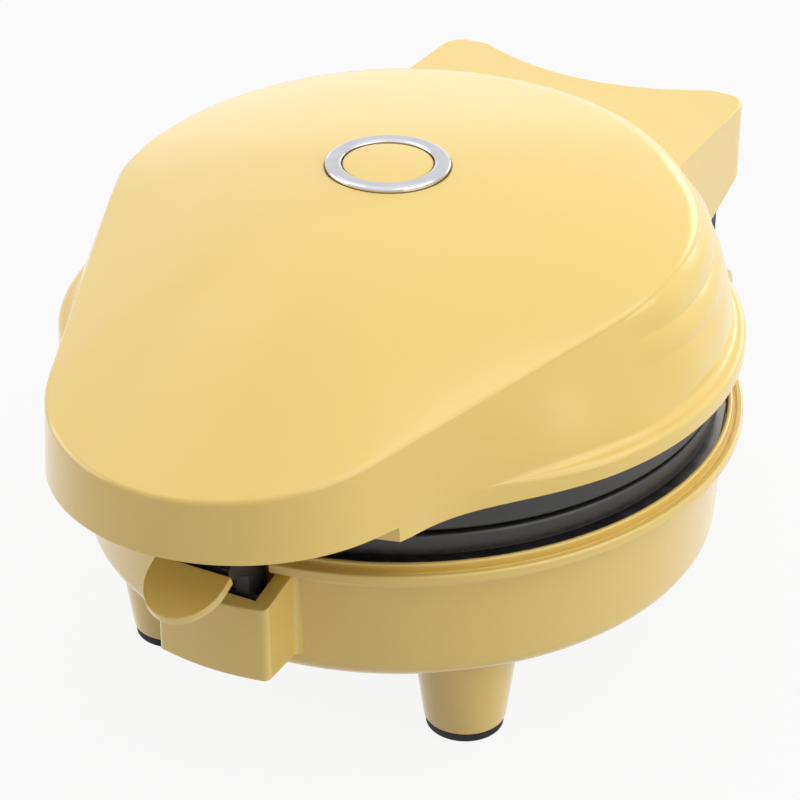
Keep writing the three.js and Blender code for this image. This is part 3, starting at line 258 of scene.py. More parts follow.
# Latch
LEVER_HALF_WIDTH = 7.5
LATCH_PIN_Y = -75.7
LATCH_PIN_Z = 43.5
LATCH_PIN_RADIUS = 1.5
LATCH_PIN_REACH = BLOCK_HALF_WIDTH - 1.5
LEVER_BACK = 3.2
LEVER_FRONT = 3.9
LEVER_TAIL = 8.5
TAIL_THICKNESS = 2.6
LEVER_BODY_HEIGHT = 12
SHELF_THICKNESS = 2.6
HOOK_THICKNESS = 1.9
HOOK_REACH = 1.1
HOOK_HEIGHT = 2
HOOK_HALF_WIDTH = 5.5
HUB_HALF = 3.4
TAB_TOP_Z = 56.4
TAB_HALF_WIDTH = 8.7
TAB_STRAIGHT = 2.6
TAB_LENGTH = 12.9
TAB_THICKNESS = 2.2
TAB_TILT = math.radians(23.5)
TONGUE_THICKNESS = 1.6
TONGUE_HALF_WIDTH = 4.6
TONGUE_LENGTH = 7.5
KEEPER_HALF_WIDTH = 6
KEEPER_DEPTH = 1.7
KEEPER_HEIGHT = 2.2
WINDOW_HALF_WIDTH = 4.6
WINDOW_DEPTH = 1.1
WINDOW_Z = (46.6, 52)
SPRING_WIRE = 0.6
SPRING_TURNS = 4
SPRING_TURN_STEPS = 24
SPRING_WIRE_STEPS = 10

# Screws and posts
POST_X = 20
POST_Y = 16
POST_RADIUS = 3.6
SCREW_RADIUS = 1.8
SCREW_GAP = 0.25
HEAD_RADIUS = 3.2
HEAD_HEIGHT = 2.1
THREAD_DEPTH = 0.25
THREAD_STEP = 0.45
RECESS_REACH = 1.9
RECESS_HALF_WIDTH = 0.35
RECESS_DEPTH = 1.1
SCREW_BORE = SCREW_RADIUS + SCREW_GAP
HEAD_BORE = HEAD_RADIUS + SCREW_GAP
BASE_HEAD_Z = BASE_UNDER_Z + WALL - HEAD_HEIGHT
BASE_BOSS_RADIUS = HEAD_BORE + WALL

POSTS = [(x, y) for x in (-POST_X, POST_X) for y in (-POST_Y, POST_Y)]
HINGE_SCREWS = [
    (side * (ARM_X[0] - ARM_FOOT_REACH / 2), HINGE_Y - ARM_FRONT / 2 + end * HINGE_SCREW_SPREAD)
    for side in (-1, 1) for end in (-1, 1)
]
LEGS = {
    "front_left": (-LEG_X, -LEG_Y), "front_right": (LEG_X, -LEG_Y),
    "rear_left": (-LEG_X, LEG_Y), "rear_right": (LEG_X, LEG_Y),
}

# Worked out from the sizes above
LEDGE_TOP_Z = LID_UNDER_Z + FLANGE_HEIGHT
TERRACE_FOOT = (FLANGE_RADIUS - FLANGE_LEDGE, LEDGE_TOP_Z + LEDGE_FILLET)
TERRACE_TOP = (
    TERRACE_FOOT[0] - sum(lean for _, lean in TERRACES),
    TERRACE_FOOT[1] + sum(height for height, _ in TERRACES),
)
LOWER_PLATE_TOP_Z = PARTING_Z - PLATE_MEETING_GAP / 2
LOWER_PLATE_UNDER_Z = LOWER_PLATE_TOP_Z - PAN_DEPTH - PLATE_FLOOR
UPPER_PLATE_UNDER_Z = PARTING_Z + PLATE_MEETING_GAP / 2
UPPER_PAN_Z = UPPER_PLATE_UNDER_Z + PAN_DEPTH
UPPER_PLATE_BACK_Z = UPPER_PAN_Z + PLATE_FLOOR
UPPER_SHIELD_Z = UPPER_PLATE_BACK_Z + ELEMENT_ROOM
LID_POST_FOOT_Z = UPPER_SHIELD_Z + SHIELD_THICKNESS + SEAT_GAP
CROSS_SAG = CROSS_RADIUS - math.sqrt(CROSS_RADIUS**2 - NOSE_RADIUS**2)
CROSS_FRONT_Y = CROSS_END_Y + CROSS_SAG
KEEPER_TOP_Z = LID_UNDER_Z + KEEPER_HEIGHT
HOOK_UNDER_Z = KEEPER_TOP_Z + SEAT_GAP
KEEPER_FRONT_Y = CROSS_FRONT_Y + SEAT_GAP + KEEPER_DEPTH
HOOK_TIP_Y = KEEPER_FRONT_Y + SEAT_GAP
HOOK_REAR_Y = HOOK_TIP_Y + HOOK_REACH
HOOK_FRONT_Y = HOOK_REAR_Y + HOOK_THICKNESS
TAB_CHORD_Y = HOOK_FRONT_Y + SEAT_GAP + TAB_THICKNESS * math.sin(TAB_TILT)
SHELF_TOP_Z = TAB_TOP_Z + SEAT_GAP

# Lamps, as (name, azimuth, elevation, distance, width, height, power)
LAMPS = (
    ("top_softbox", 0, 90, 1.1, 2, 2, 3.4),
    ("right_softbox", 90, 45, 1, 1, 1, 3.6),
    ("right_fill", 75, 12, 1, 0.7, 0.4, 1),
    ("left_softbox", 280, 45, 1, 1, 1, 0.8),
    ("left_fill", 290, 18, 1, 0.8, 0.6, 2.5),
    ("rear_softbox", 207, 8, 1.3, 1.2, 0.5, 0.5),
    ("rear_right_strip", 168, 15, 1, 0.6, 0.3, 0.9),
)
LAMP_TARGET = (0, 0, 0.06)
FLOOR_SIZE = 4

# Camera that was fitted to the photograph
CAMERA_TARGET = (-0.00029, -0.00016, 0.04858)
CAMERA_PLACE = (27.92, 30.5, 0.63566)
CAMERA_LENS = 128.51

# The material of each slot
FINISHES = {}


def mix(a, b, share):
    return a + (b - a) * share


def steps_to(count):
    """Shares from above zero to one, in even steps."""
    return [(i + 1) / count for i in range(count)]


def arc(across, up, radius, start, end, steps):
    """Points of a circular arc between two angles in degrees."""
    turns = [math.radians(mix(start, end, i / steps)) for i in range(steps + 1)]
    return [(across + radius * math.cos(turn), up + radius * math.sin(turn)) for turn in turns]


def curve(start, pull, end, steps):
    """Points of a curve that leaves one end towards a third point and comes into the other."""
    points = []
    for share in steps_to(steps):
        near = [mix(a, b, share) for a, b in zip(start, pull)]
        far = [mix(a, b, share) for a, b in zip(pull, end)]
        points.append(tuple(mix(a, b, share) for a, b in zip(near, far)))
    return points


def rounded(corners, steps=5):
    """A closed outline of (across, up, rounding) corners, with each corner rounded off."""
    points = []
    for i, (across, up, radius) in enumerate(corners):
        here = Vector((across, up))
        before = (Vector(corners[i - 1][:2]) - here).normalized()
        after = (Vector(corners[(i + 1) % len(corners)][:2]) - here).normalized()
        half = before.angle(after) / 2
        if not radius or half > math.radians(NEARLY_STRAIGHT):
            points.append((across, up))
            continue
        centre = here + (before + after).normalized() * radius / math.sin(half)
        start = here + before * radius / math.tan(half) - centre
        turn = start.angle_signed(here + after * radius / math.tan(half) - centre)
        for k in range(steps + 1):
            spoke = start.copy()
            spoke.rotate(Matrix.Rotation(-turn * k / steps, 2))
            points.append(tuple(centre + spoke))
    return points


def mirrored(right):
    """The left half of an outline, from the end of its right half back to the start."""
    return [(-x, y) for x, y in reversed(right)]


def moved(mesh, x=0, y=0, z=0):
    bmesh.ops.translate(mesh, verts=mesh.verts, vec=(x, y, z))
    return mesh


def turned(mesh, degrees, axis, centre=(0, 0, 0)):
    spin = Matrix.Rotation(math.radians(degrees), 3, axis)
    bmesh.ops.rotate(mesh, verts=mesh.verts, cent=centre, matrix=spin)
    return mesh


def spun(profile, x=0, y=0, steps=96):
    """A solid of revolution about an upright axis from (radius, height) points.

    A profile that reaches the axis is started there. Any other one is closed as a ring.
    """
    on_axis = [i for i, (radius, _) in enumerate(profile) if not radius]
    if on_axis:
        while profile[0][0] or profile[-1][0]:
            profile = [*profile[1:], profile[0]]
    mesh = bmesh.new()
    verts = [mesh.verts.new((radius, 0, height)) for radius, height in profile]
    edges = [mesh.edges.new(pair) for pair in zip(verts, verts[1:])]
    if not on_axis:
        edges.append(mesh.edges.new((verts[-1], verts[0])))
    bmesh.ops.spin(
        mesh, geom=verts + edges, cent=(0, 0, 0), axis=(0, 0, 1), dvec=(0, 0, 0),
        angle=math.tau, steps=steps, use_merge=True, use_duplicate=False,
    )
    bmesh.ops.remove_doubles(mesh, verts=mesh.verts, dist=MERGE_DISTANCE)
    bmesh.ops.recalc_face_normals(mesh, faces=mesh.faces)
    return moved(mesh, x, y)


def prism(outline, low, high, along="z"):
    """An outline carried along one axis. It is drawn in (x, y), in (y, z) or in (x, z)."""
    spot = {
        "z": lambda a, b, c: (a, b, c),
        "x": lambda a, b, c: (c, a, b),
        "y": lambda a, b, c: (a, c, b),
    }[along]
    mesh = bmesh.new()
    face = mesh.faces.new([mesh.verts.new(spot(a, b, low)) for a, b in outline])
    grown = bmesh.ops.extrude_face_region(mesh, geom=[face])["geom"]
    risen = [part for part in grown if isinstance(part, bmesh.types.BMVert)]
    bmesh.ops.translate(mesh, verts=risen, vec=spot(0, 0, high - low))
    bmesh.ops.recalc_face_normals(mesh, faces=mesh.faces)
    return mesh


def bar(radius, low, high, x=0, y=0, steps=BAR_STEPS):
    """An upright round bar."""
    mesh = bmesh.new()
    bmesh.ops.create_cone(
        mesh, cap_ends=True, segments=steps, radius1=radius, radius2=radius, depth=high - low,
    )
    return moved(mesh, x, y, (low + high) / 2)


def cross_bar(radius, low, high, y, z):
    """A round bar along X."""
    return moved(turned(bar(radius, low, high), 90, "Y"), 0, y, z)


def box(low, high):
    outline = [(low[0], low[1]), (high[0], low[1]), (high[0], high[1]), (low[0], high[1])]
    return prism(outline, low[2], high[2])


def eased(mesh, size, steps=3, over=40, wanted=lambda edge: True):
    """Rounds off the edges that turn by more than an angle."""
    sharp = [
        edge for edge in mesh.edges
        if edge.is_manifold and edge.calc_face_angle() > math.radians(over) and wanted(edge)
    ]
    bmesh.ops.bevel(
        mesh, geom=sharp, offset=size, segments=steps, profile=0.5, affect="EDGES", material=-1,
    )
    return mesh


def trimmed(mesh, point, normal):
    """Cuts off all that is behind a plane and closes the cut."""
    every = [*mesh.verts, *mesh.edges, *mesh.faces]
    bmesh.ops.bisect_plane(mesh, geom=every, plane_co=point, plane_no=normal, clear_inner=True)
    open_edges = [edge for edge in mesh.edges if edge.is_boundary]
    bmesh.ops.holes_fill(mesh, edges=open_edges, sides=0)
    bmesh.ops.recalc_face_normals(mesh, faces=mesh.faces)
    return mesh


def together(*meshes):
    """Several meshes side by side in one."""
    whole = meshes[0]
    for mesh in meshes[1:]:
        store = bpy.data.meshes.new("part")
        mesh.to_mesh(store)
        mesh.free()
        whole.from_mesh(store)
        bpy.data.meshes.remove(store)
    return whole


def bars(radius, low, high, places, steps=BAR_STEPS):
    """The same upright bar at each place."""
    return together(*[bar(radius, low, high, x, y, steps) for x, y in places])


def bench_object(name, mesh):
    store = bpy.data.meshes.new(name)
    mesh.to_mesh(store)
    mesh.free()
    thing = bpy.data.objects.new(name, store)
    bpy.context.scene.collection.objects.link(thing)
    return thing


def worked(mesh, *steps):
    """Joins, cuts or keeps the shared part, one (operation, mesh) after another."""
    bench = [bench_object("blank", mesh)]
    for operation, tool in steps:
        cutter = bench_object("tool", tool)
        change = bench[0].modifiers.new(operation, "BOOLEAN")
        change.operation = operation
        change.solver = "MANIFOLD"
        change.object = cutter
        bench.append(cutter)
    ready = bench[0].evaluated_get(bpy.context.evaluated_depsgraph_get())
    made = bpy.data.meshes.new_from_object(ready)
    result = bmesh.new()
    result.from_mesh(made)
    bpy.data.meshes.remove(made)
    for thing in bench:
        store = thing.data
        bpy.data.objects.remove(thing)
        bpy.data.meshes.remove(store)
    bmesh.ops.remove_doubles(result, verts=result.verts, dist=MERGE_DISTANCE)
    return result


def piece(name, mesh, body, slot, nodes=None, crease=30):
    """A finished piece: metres, smooth but for its creases, on its body, in place of its nodes."""
    bmesh.ops.scale(mesh, vec=(MM, MM, MM), verts=mesh.verts)
    made = bench_object(name, mesh)
    made.data.shade_smooth()
    made.data.set_sharp_from_angle(angle=math.radians(crease))
    made.data.materials.append(FINISHES[slot])
    made.modifiers.new("even_normals", "WEIGHTED_NORMAL").keep_sharp = True
    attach(made, body)
    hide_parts(*(nodes or [name.replace("fine_", "")]))
    return made


# Shape of the lid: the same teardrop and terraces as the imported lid, in finer steps

FLANK_LEAN = math.asin((REAR_RADIUS - NOSE_RADIUS) / NOSE_REACH)
NOSE_STEPS = 72
FLANK_STEPS = 28
REAR_STEPS = 120
OUTER_EDGE_STEPS = 8
INNER_EDGE_STEPS = 5
TERRACE_SHARES = (0.03, 0.09, 0.2, 0.35, 0.5, 0.65, 0.8, 0.91, 0.97, 1)
DOME_SHARES = (0.985, 0.95, 0.9, 0.82, 0.74, 0.66, 0.58, 0.5, 0.42, 0.34, 0.26, 0.18, 0.1, 0.04)


def teardrop_stations():
    """Outward directions round the teardrop, each with its share of the way to the nose."""
    right, left = -FLANK_LEAN, math.pi + FLANK_LEAN
    nose = [(mix(left - math.tau, right, i / NOSE_STEPS), 1) for i in range(NOSE_STEPS + 1)]
    right_flank = [(right, 1 - i / FLANK_STEPS) for i in range(1, FLANK_STEPS)]
    rear = [(mix(right, left, i / REAR_STEPS), 0) for i in range(REAR_STEPS + 1)]
    left_flank = [(left, i / FLANK_STEPS) for i in range(1, FLANK_STEPS)]
    return nose + right_flank + rear + left_flank


STATIONS = teardrop_stations()


def plan_point(station, grow):
    """A point of the teardrop in plan, moved outwards."""
    angle, nose_share = station
    radius = mix(REAR_RADIUS, NOSE_RADIUS, nose_share) + grow
    return radius * math.cos(angle), radius * math.sin(angle) - NOSE_REACH * nose_share


def edge_height(station):
    y = plan_point(station, 0)[1]
    fall = NOSE_DROP * y / NOSE_TIP if y < 0 else REAR_RISE * y / REAR_RADIUS
    return CAP_SIDE_Z + fall


def edge_rounding(station):
    return mix(CAP_EDGE, CAP_SHOULDER, max(math.sin(station[0]), 0) ** SHOULDER_SPREAD)


def edge_lean(station):
    """How far the wall already leans where the rounding of the roof's edge starts, in radians."""
    y = plan_point(station, 0)[1]
    share = run_out(y, *TERRACE_TOP_Y) * (1 - run_out(y, *TERRACES_END_Y))
    return math.radians(TERRACE_TOP_LEAN) * share


def wall_rows():
    """(radius, height) rows of the round wall, from the flange's foot up."""
    low, edge = FLANGE_LOW_EDGE, FLANGE_EDGE
    rows = [
        *arc(FLANGE_RADIUS - low, LID_UNDER_Z + low, low, -90, 0, 6),
        *arc(FLANGE_RADIUS - edge, LEDGE_TOP_Z - edge, edge, 0, 90, 6),
        *arc(TERRACE_FOOT[0] + LEDGE_FILLET, TERRACE_FOOT[1], LEDGE_FILLET, 270, 180, 7),
    ]
    foot, z = TERRACE_FOOT
    for height, lean in TERRACES:
        rows += [
            (foot - lean * share**TERRACE_CURVE, z + height * share) for share in TERRACE_SHARES
        ]
        foot, z = foot - lean, z + height
    return rows


def soft_larger(a, b, width):
    """The larger of two values, with a soft change from one to the other."""
    if width <= 0 or abs(a - b) >= width:
        return max(a, b)
    share = 1 / 2 + (a - b) / (2 * width)
    return mix(b, a, share) + width * share * (1 - share) / 2


def run_out(y, start, end):
    """A soft change from zero to one between two places along the lid."""
    share = min(max((start - y) / (start - end), 0), 1)
    return share * share * (3 - 2 * share)


def drafted_point(station, z, top_z, inset):
    """The teardrop's wall, which leans in towards the roof."""
    draft = CAP_DRAFT * max(top_z - z, 0) / (CAP_SIDE_Z - LID_UNDER_Z)
    return plan_point(station, draft - inset)


def blend_width(y):
    return FLANK_BLEND * min(max(-y / FLANK_BLEND_START, 0), 1)


def plain_wall(station, z, top_z, foot):
    """How far out a plain wall stands that rises from the wider foot to the edge of the roof."""
    low_x, low_y = drafted_point(station, foot[1], top_z, 0)
    low = math.hypot(low_x, low_y)
    flare = soft_larger(low, foot[0], blend_width(low_y)) - low
    share = min(max((z - foot[1]) / (top_z - foot[1]), 0), 1)
    top = math.hypot(*plan_point(station, 0))
    return mix(low, top, share) + flare * (1 - share**PLAIN_WALL_CURVE)


def wall_point(station, radius, height, top_z, inset):
    """The drafted teardrop or the terraces, whichever stands out more.

    Towards the nose the terraces, and further on the flange, run out into a plain wall.
    """
    z = min(height, top_z - SQUEEZE_SHARE * (TERRACE_TOP[1] - height))
    x, y = drafted_point(station, z, top_z, inset)
    reach = math.hypot(x, y)
    width = blend_width(y) * min((top_z - z) / FLANK_BLEND_FADE, 1)
    wide = soft_larger(reach, radius, width)
    if not inset:
        wide_y = y * max(radius / reach, 1)
        if height >= TERRACE_FOOT[1]:
            plain = plain_wall(station, z, top_z, TERRACE_FOOT)
            wide = mix(wide, plain, run_out(wide_y, *TERRACES_END_Y))
        plain = plain_wall(station, z, top_z, (FLANGE_RADIUS, LID_UNDER_Z))
        wide = mix(wide, plain, run_out(wide_y, *FLANGE_END_Y))
    return x * wide / reach, y * wide / reach, z


def crown_drop(x, y):
    across, along = x / REAR_RADIUS, (y - RING_Y) / CROWN_SPAN
    return sum(size * across**i * along**j for i, j, size in CROWN_TERMS)


def roof_point(station, inset, back, drop, dome_share):
    """A point of the domed roof, some way in from its edge and some way down."""
    x, y = plan_point(station, -inset)
    edge_x, edge_y = plan_point(station, 0)
    inward = x * math.cos(station[0]) + (y - RING_Y) * math.sin(station[0])
    share = (1 - back / inward) * dome_share
    reach = math.hypot(x, y - RING_Y) * share / math.hypot(edge_x, edge_y - RING_Y)
    x, y = x * share, RING_Y + (y - RING_Y) * share
    at_edge = CAP_TOP_Z - edge_height(station) - crown_drop(edge_x, edge_y)
    return x, y, CAP_TOP_Z - crown_drop(x, y) - at_edge * reach**3 - drop - inset


def roof_rings(inset, edge_steps):
    rings = []
    corners = [
        (station, max(edge_rounding(station) - inset, 0), 0 if inset else edge_lean(station))
        for station in STATIONS
    ]
    for turn in steps_to(edge_steps):
        rings.append([
            roof_point(
                station, inset,
                radius * (math.cos(lean) - math.cos(mix(lean, math.pi / 2, turn))),
                radius * (1 - math.sin(mix(lean, math.pi / 2, turn))), 1,
            )
            for station, radius, lean in corners
        ])
    for share in DOME_SHARES:
        rings.append([
            roof_point(station, inset, radius * math.cos(lean), 0, share)
            for station, radius, lean in corners
        ])
    return rings


def lofted(rings):
    """A closed skin through rings of points: one ring of edges, extruded from ring to ring."""
    mesh = bmesh.new()
    ring = bmesh.ops.create_circle(mesh, segments=len(rings[0]), radius=1)["verts"]
    for vert, point in zip(ring, rings[0]):
        vert.co = point
    edges = list(mesh.edges)
    for points in rings[1:]:
        grown = bmesh.ops.extrude_edge_only(mesh, edges=edges)["geom"]
        fresh = {part for part in grown if isinstance(part, bmesh.types.BMVert)}
        edges = [part for part in grown if isinstance(part, bmesh.types.BMEdge)]
        edges = [edge for edge in edges if edge.verts[0] in fresh and edge.verts[1] in fresh]
        ring = [
            next(edge.other_vert(v) for edge in v.link_edges if edge.other_vert(v) in fresh)
            for v in ring
        ]
        for vert, point in zip(ring, points):
            vert.co = point
    bmesh.ops.pointmerge(mesh, verts=ring, merge_co=sum((v.co for v in ring), Vector()) / len(ring))
    bmesh.ops.holes_fill(mesh, edges=[edge for edge in mesh.edges if edge.is_boundary], sides=0)
    bmesh.ops.remove_doubles(mesh, verts=mesh.verts, dist=MERGE_DISTANCE)
    bmesh.ops.recalc_face_normals(mesh, faces=mesh.faces)
    return mesh


def wall_rings(rows, inset, top_z):
    return [
        [wall_point(station, radius, height, top_z(station), inset) for station in STATIONS]
        for radius, height in rows
    ]


def lid_outside():
    rings = wall_rings(wall_rows(), 0, lambda station: (
        edge_height(station) - edge_rounding(station) * (1 - math.sin(edge_lean(station)))
    ))
    return lofted(rings + roof_rings(0, OUTER_EDGE_STEPS))


def lid_inside():
    mouth = PLATE_RADIUS + LID_MOUTH_GAP
    rows = [
        (mouth, LID_UNDER_Z - OVERRUN),
        (mouth, LEDGE_TOP_Z - WALL / 4),
        (TERRACE_FOOT[0] - WALL, TERRACE_FOOT[1]),
        (TERRACE_TOP[0] - WALL, TERRACE_TOP[1]),
    ]
    rings = wall_rings(rows, WALL, lambda station: (
        edge_height(station) - max(edge_rounding(station), WALL)
    ))
    return lofted(rings + roof_rings(WALL, INNER_EDGE_STEPS))


def ear_plan(inset, half_width, corner_y, tip_x, tip_y, dip, steps=14):
    """Plan of a rear block with rounded corners and a hollow between its two ears."""
    side, tip = half_width - inset, tip_y - inset
    bend_x = tip_x + (side - tip_x) / 3
    right = [
        (side, corner_y - inset),
        *curve((side, corner_y - inset), (side, tip), (bend_x, tip), steps),
        (tip_x, tip),
        *curve((tip_x, tip), (tip_x / 2, tip - dip), (0, tip - dip), steps),
    ]
    return [(-side, 0), (side, 0), *right, *mirrored(right[:-1])]


def lid_ear_plan(inset):
    return ear_plan(inset, EAR_HALF_WIDTH, EAR_CORNER_Y, EAR_TIP_X, EAR_TIP_Y, EAR_DIP)


def behind_middle(edge):
    return min(vert.co.y for vert in edge.verts) > 1


def ear_block(inset, lift):
    start_y = EAR_TIP_Y - EAR_LEVEL_DEPTH - WALL * 2
    low_z = LID_UNDER_Z - SEAT_GAP * 4 + lift
    mesh = prism(lid_ear_plan(inset), min(low_z, LID_UNDER_Z - OVERRUN), EAR_TOP_Z - inset)
    mesh = trimmed(mesh, (0, 0, low_z), (0, 0, 1))
    mesh = trimmed(mesh, (0, start_y, low_z), (0, -EAR_UNDER_SLOPE, 1))
    return mesh if inset else eased(mesh, EAR_EDGE, steps=6, wanted=behind_middle)


def cross_wall():
    middle = CROSS_RADIUS - CROSS_FRONT_Y
    spread = math.degrees(math.asin((NOSE_RADIUS + OVERRUN) / CROSS_RADIUS))
    outer = arc(0, middle, CROSS_RADIUS, -90 - spread, -90 + spread, 40)
    inner = arc(0, middle, CROSS_RADIUS - WALL, -90 + spread, -90 - spread, 40)
    return prism(outer + inner, LID_UNDER_Z, LID_UNDER_Z + CROSS_HEIGHT)


def lid_cover():
    nose_cut = box(
        (-REAR_RADIUS, -NOSE_TIP - OVERRUN, LID_UNDER_Z - OVERRUN),
        (REAR_RADIUS, -CROSS_END_Y, LID_UNDER_Z + NOSE_UNDERCUT),
    )
    ear_hollow = worked(ear_block(WALL, -OVERRUN), ("DIFFERENCE", lid_outside()))
    wall = worked(cross_wall(), ("INTERSECT", lid_outside()))
    foot_z = LID_POST_FOOT_Z
    posts = worked(
        bars(POST_RADIUS, foot_z, CAP_TOP_Z, POSTS),
        ("INTERSECT", moved(lid_inside(), 0, 0, WALL / 2)),
    )
    bores = together(
        bars(SCREW_BORE, foot_z - 1, foot_z + POST_BORE_DEPTH, POSTS),
        bars(SCREW_BORE, EAR_ROOF_Z - OVERRUN, EAR_ROOF_Z - SEAT_GAP, HINGE_SCREWS),
    )
    seat, floor_z, chamfer = RING_RADIUS + RING_GROOVE, CAP_TOP_Z - RING_RECESS, RING_SEAT_CHAMFER
    ring_seat = [
        (0, floor_z), (seat, floor_z), (seat, CAP_TOP_Z - chamfer),
        (seat + chamfer, CAP_TOP_Z + 0.1), (seat + chamfer, CAP_TOP_Z + OVERRUN),
        (0, CAP_TOP_Z + OVERRUN),
    ]
    mesh = worked(
        lid_outside(),
        ("UNION", ear_block(0, 0)),
        ("DIFFERENCE", lid_inside()),
        ("DIFFERENCE", ear_hollow),
        ("DIFFERENCE", nose_cut),
        ("UNION", wall),
        ("UNION", posts),
        ("UNION", bars(POST_RADIUS, EAR_ROOF_Z - HINGE_BOSS_DEPTH, EAR_ROOF_Z + 1, HINGE_SCREWS)),
        ("DIFFERENCE", bores),
        ("DIFFERENCE", spun(ring_seat, 0, RING_Y)),
    )
    piece("fine_lid_cover", mesh, "lid", "butter_plastic", crease=24)


def ring_pieces():
    foot = CAP_TOP_Z - RING_RECESS + SEAT_GAP / 2
    inner, top = RING_RADIUS - RING_WIDTH, foot + RING_HEIGHT
    ring = rounded([
        (inner, foot, 0), (RING_RADIUS, foot, 0), (RING_RADIUS, top - 0.25, 0.5),
        (RING_RADIUS - 0.8, top, 0.7), (inner + 0.6, top, 0.5), (inner, top - 0.3, 0.3),
    ])
    piece("fine_ring_trim", spun(ring, 0, RING_Y, RING_STEPS), "lid", "ring_chrome")
    radius, edge_z = inner - RING_GROOVE, top - 0.5
    disc = [
        (0, foot), (radius, foot), (radius, edge_z - 0.3), (radius - 0.1, edge_z - 0.08),
        *[(radius * share, edge_z + DISC_RISE * (1 - share**2)) for share in DISC_SHARES],
    ]
    piece("fine_ring_disc", spun(disc, 0, RING_Y, DISC_STEPS), "lid", "butter_plastic")


# Base moulding

def bowl():
    foot = BOWL_RADIUS - BOWL_TAPER
    groove_outer = RIM_RADIUS - RIM_LIP_WIDTH
    bead_outer = groove_outer - GROOVE_WIDTH
    return spun(rounded([
        (foot, BASE_UNDER_Z, BOWL_FILLET),
        (BOWL_RADIUS, RIM_Z - 4.05, 3),
        (RIM_RADIUS - 1.85, RIM_Z - 2.82, 1.5),
        (RIM_RADIUS, RIM_Z - RIM_LIP_HEIGHT, 0.35),
        (RIM_RADIUS, RIM_Z, 0.6),
        (groove_outer, RIM_Z, 0.3),
        (groove_outer, RIM_Z - GROOVE_DEPTH, 0.25),
        (bead_outer, RIM_Z - GROOVE_DEPTH, 0.25),
        (bead_outer, RIM_Z + BEAD_HEIGHT, 0.45),
        (OPENING_RADIUS, RIM_Z + BEAD_HEIGHT, 0.45),
        (OPENING_RADIUS, LEDGE_Z, 0.2),
        (BOWL_INNER_RADIUS, LEDGE_Z, 0.3),
        (foot - WALL, BASE_FLOOR_Z, BOWL_FILLET - WALL),
        (0, BASE_FLOOR_Z, 0),
        (0, BASE_UNDER_Z, 0),
    ]), steps=WIDE_STEPS)


def leg(x, y):
    low, root = PAD_HEIGHT + SEAT_GAP, LEG_TOP_RADIUS + LEG_FILLET
    edge, bend = LEG_TIP_EDGE, LEG_TIP_EDGE * 0.3
    profile = [
        (0, low), (LEG_TIP_RADIUS - edge, low), (LEG_TIP_RADIUS - bend, low + bend),
        (LEG_TIP_RADIUS, low + edge),
        *arc(root, BASE_UNDER_Z - LEG_FILLET, LEG_FILLET, 180, 90, 6),
        (root, BASE_UNDER_Z + ROOT_DEPTH), (0, BASE_UNDER_Z + ROOT_DEPTH),
    ]
    return spun(profile, x, y, FOOT_STEPS)


def latch_pocket():
    return box(
        (-POCKET_HALF_WIDTH, POCKET_Y[0], BLOCK_UNDER_Z + POCKET_FLOOR),
        (POCKET_HALF_WIDTH, POCKET_Y[1], RIM_Z + OVERRUN),
    )


def before_bowl(edge):
    return max(vert.co.y for vert in edge.verts) < BLOCK_EDGES_END_Y


def latch_block():
    side_y = -BLOCK_REACH + BLOCK_BOW
    front_y, rear_y = side_y - BLOCK_BOW, -BOWL_INNER_RADIUS + WALL
    half, flat = BLOCK_HALF_WIDTH, BLOCK_HALF_WIDTH - BLOCK_CORNER
    root = arc(half + BLOCK_ROOT_FILLET, BLOCK_ROOT_Y, BLOCK_ROOT_FILLET, 180, 110, 5)
    right = [
        *curve((0, front_y), (flat / 2, front_y), (flat, side_y), 8),
        *curve((flat, side_y), (half, side_y), (half, side_y + BLOCK_CORNER), 6),
        *root,
        (root[-1][0], rear_y),
    ]
    mesh = prism([(0, front_y), *right, *mirrored(right)], BLOCK_UNDER_Z, RIM_Z)
    slope = BLOCK_REAR_RISE / (rear_y - side_y)
    mesh = trimmed(mesh, (0, side_y, BLOCK_FRONT_Z), (0, slope, -1))
    mesh = worked(mesh, ("DIFFERENCE", latch_pocket()))
    return eased(mesh, BLOCK_EDGE, over=50, wanted=before_bowl)


def hinge_ear(side):
    spread = HINGE_EAR_RADIUS + WALL / 2
    low_z = BRACKET_Z[1] - WALL
    outline = [
        (HINGE_Y + spread, low_z),
        *arc(HINGE_Y, HINGE_Z, HINGE_EAR_RADIUS, -10, 190, 24),
        (HINGE_Y - spread, low_z),
    ]
    low, high = sorted(side * x for x in HINGE_EAR_X)
    return eased(prism(outline, low, high, "x"), 0.5)


def bracket_plan(inset):
    return ear_plan(
        inset, HINGE_EAR_X[1], BRACKET_CORNER_Y, BRACKET_TIP_X, BRACKET_REAR_Y, BRACKET_DIP,
    )


def hinge_bore():
    return cross_bar(HINGE_PIN_RADIUS + RUN_GAP, -THROUGH, THROUGH, HINGE_Y, HINGE_Z)


def latch_bore(reach):
    return cross_bar(LATCH_PIN_RADIUS + RUN_GAP, -reach, reach, LATCH_PIN_Y, LATCH_PIN_Z)


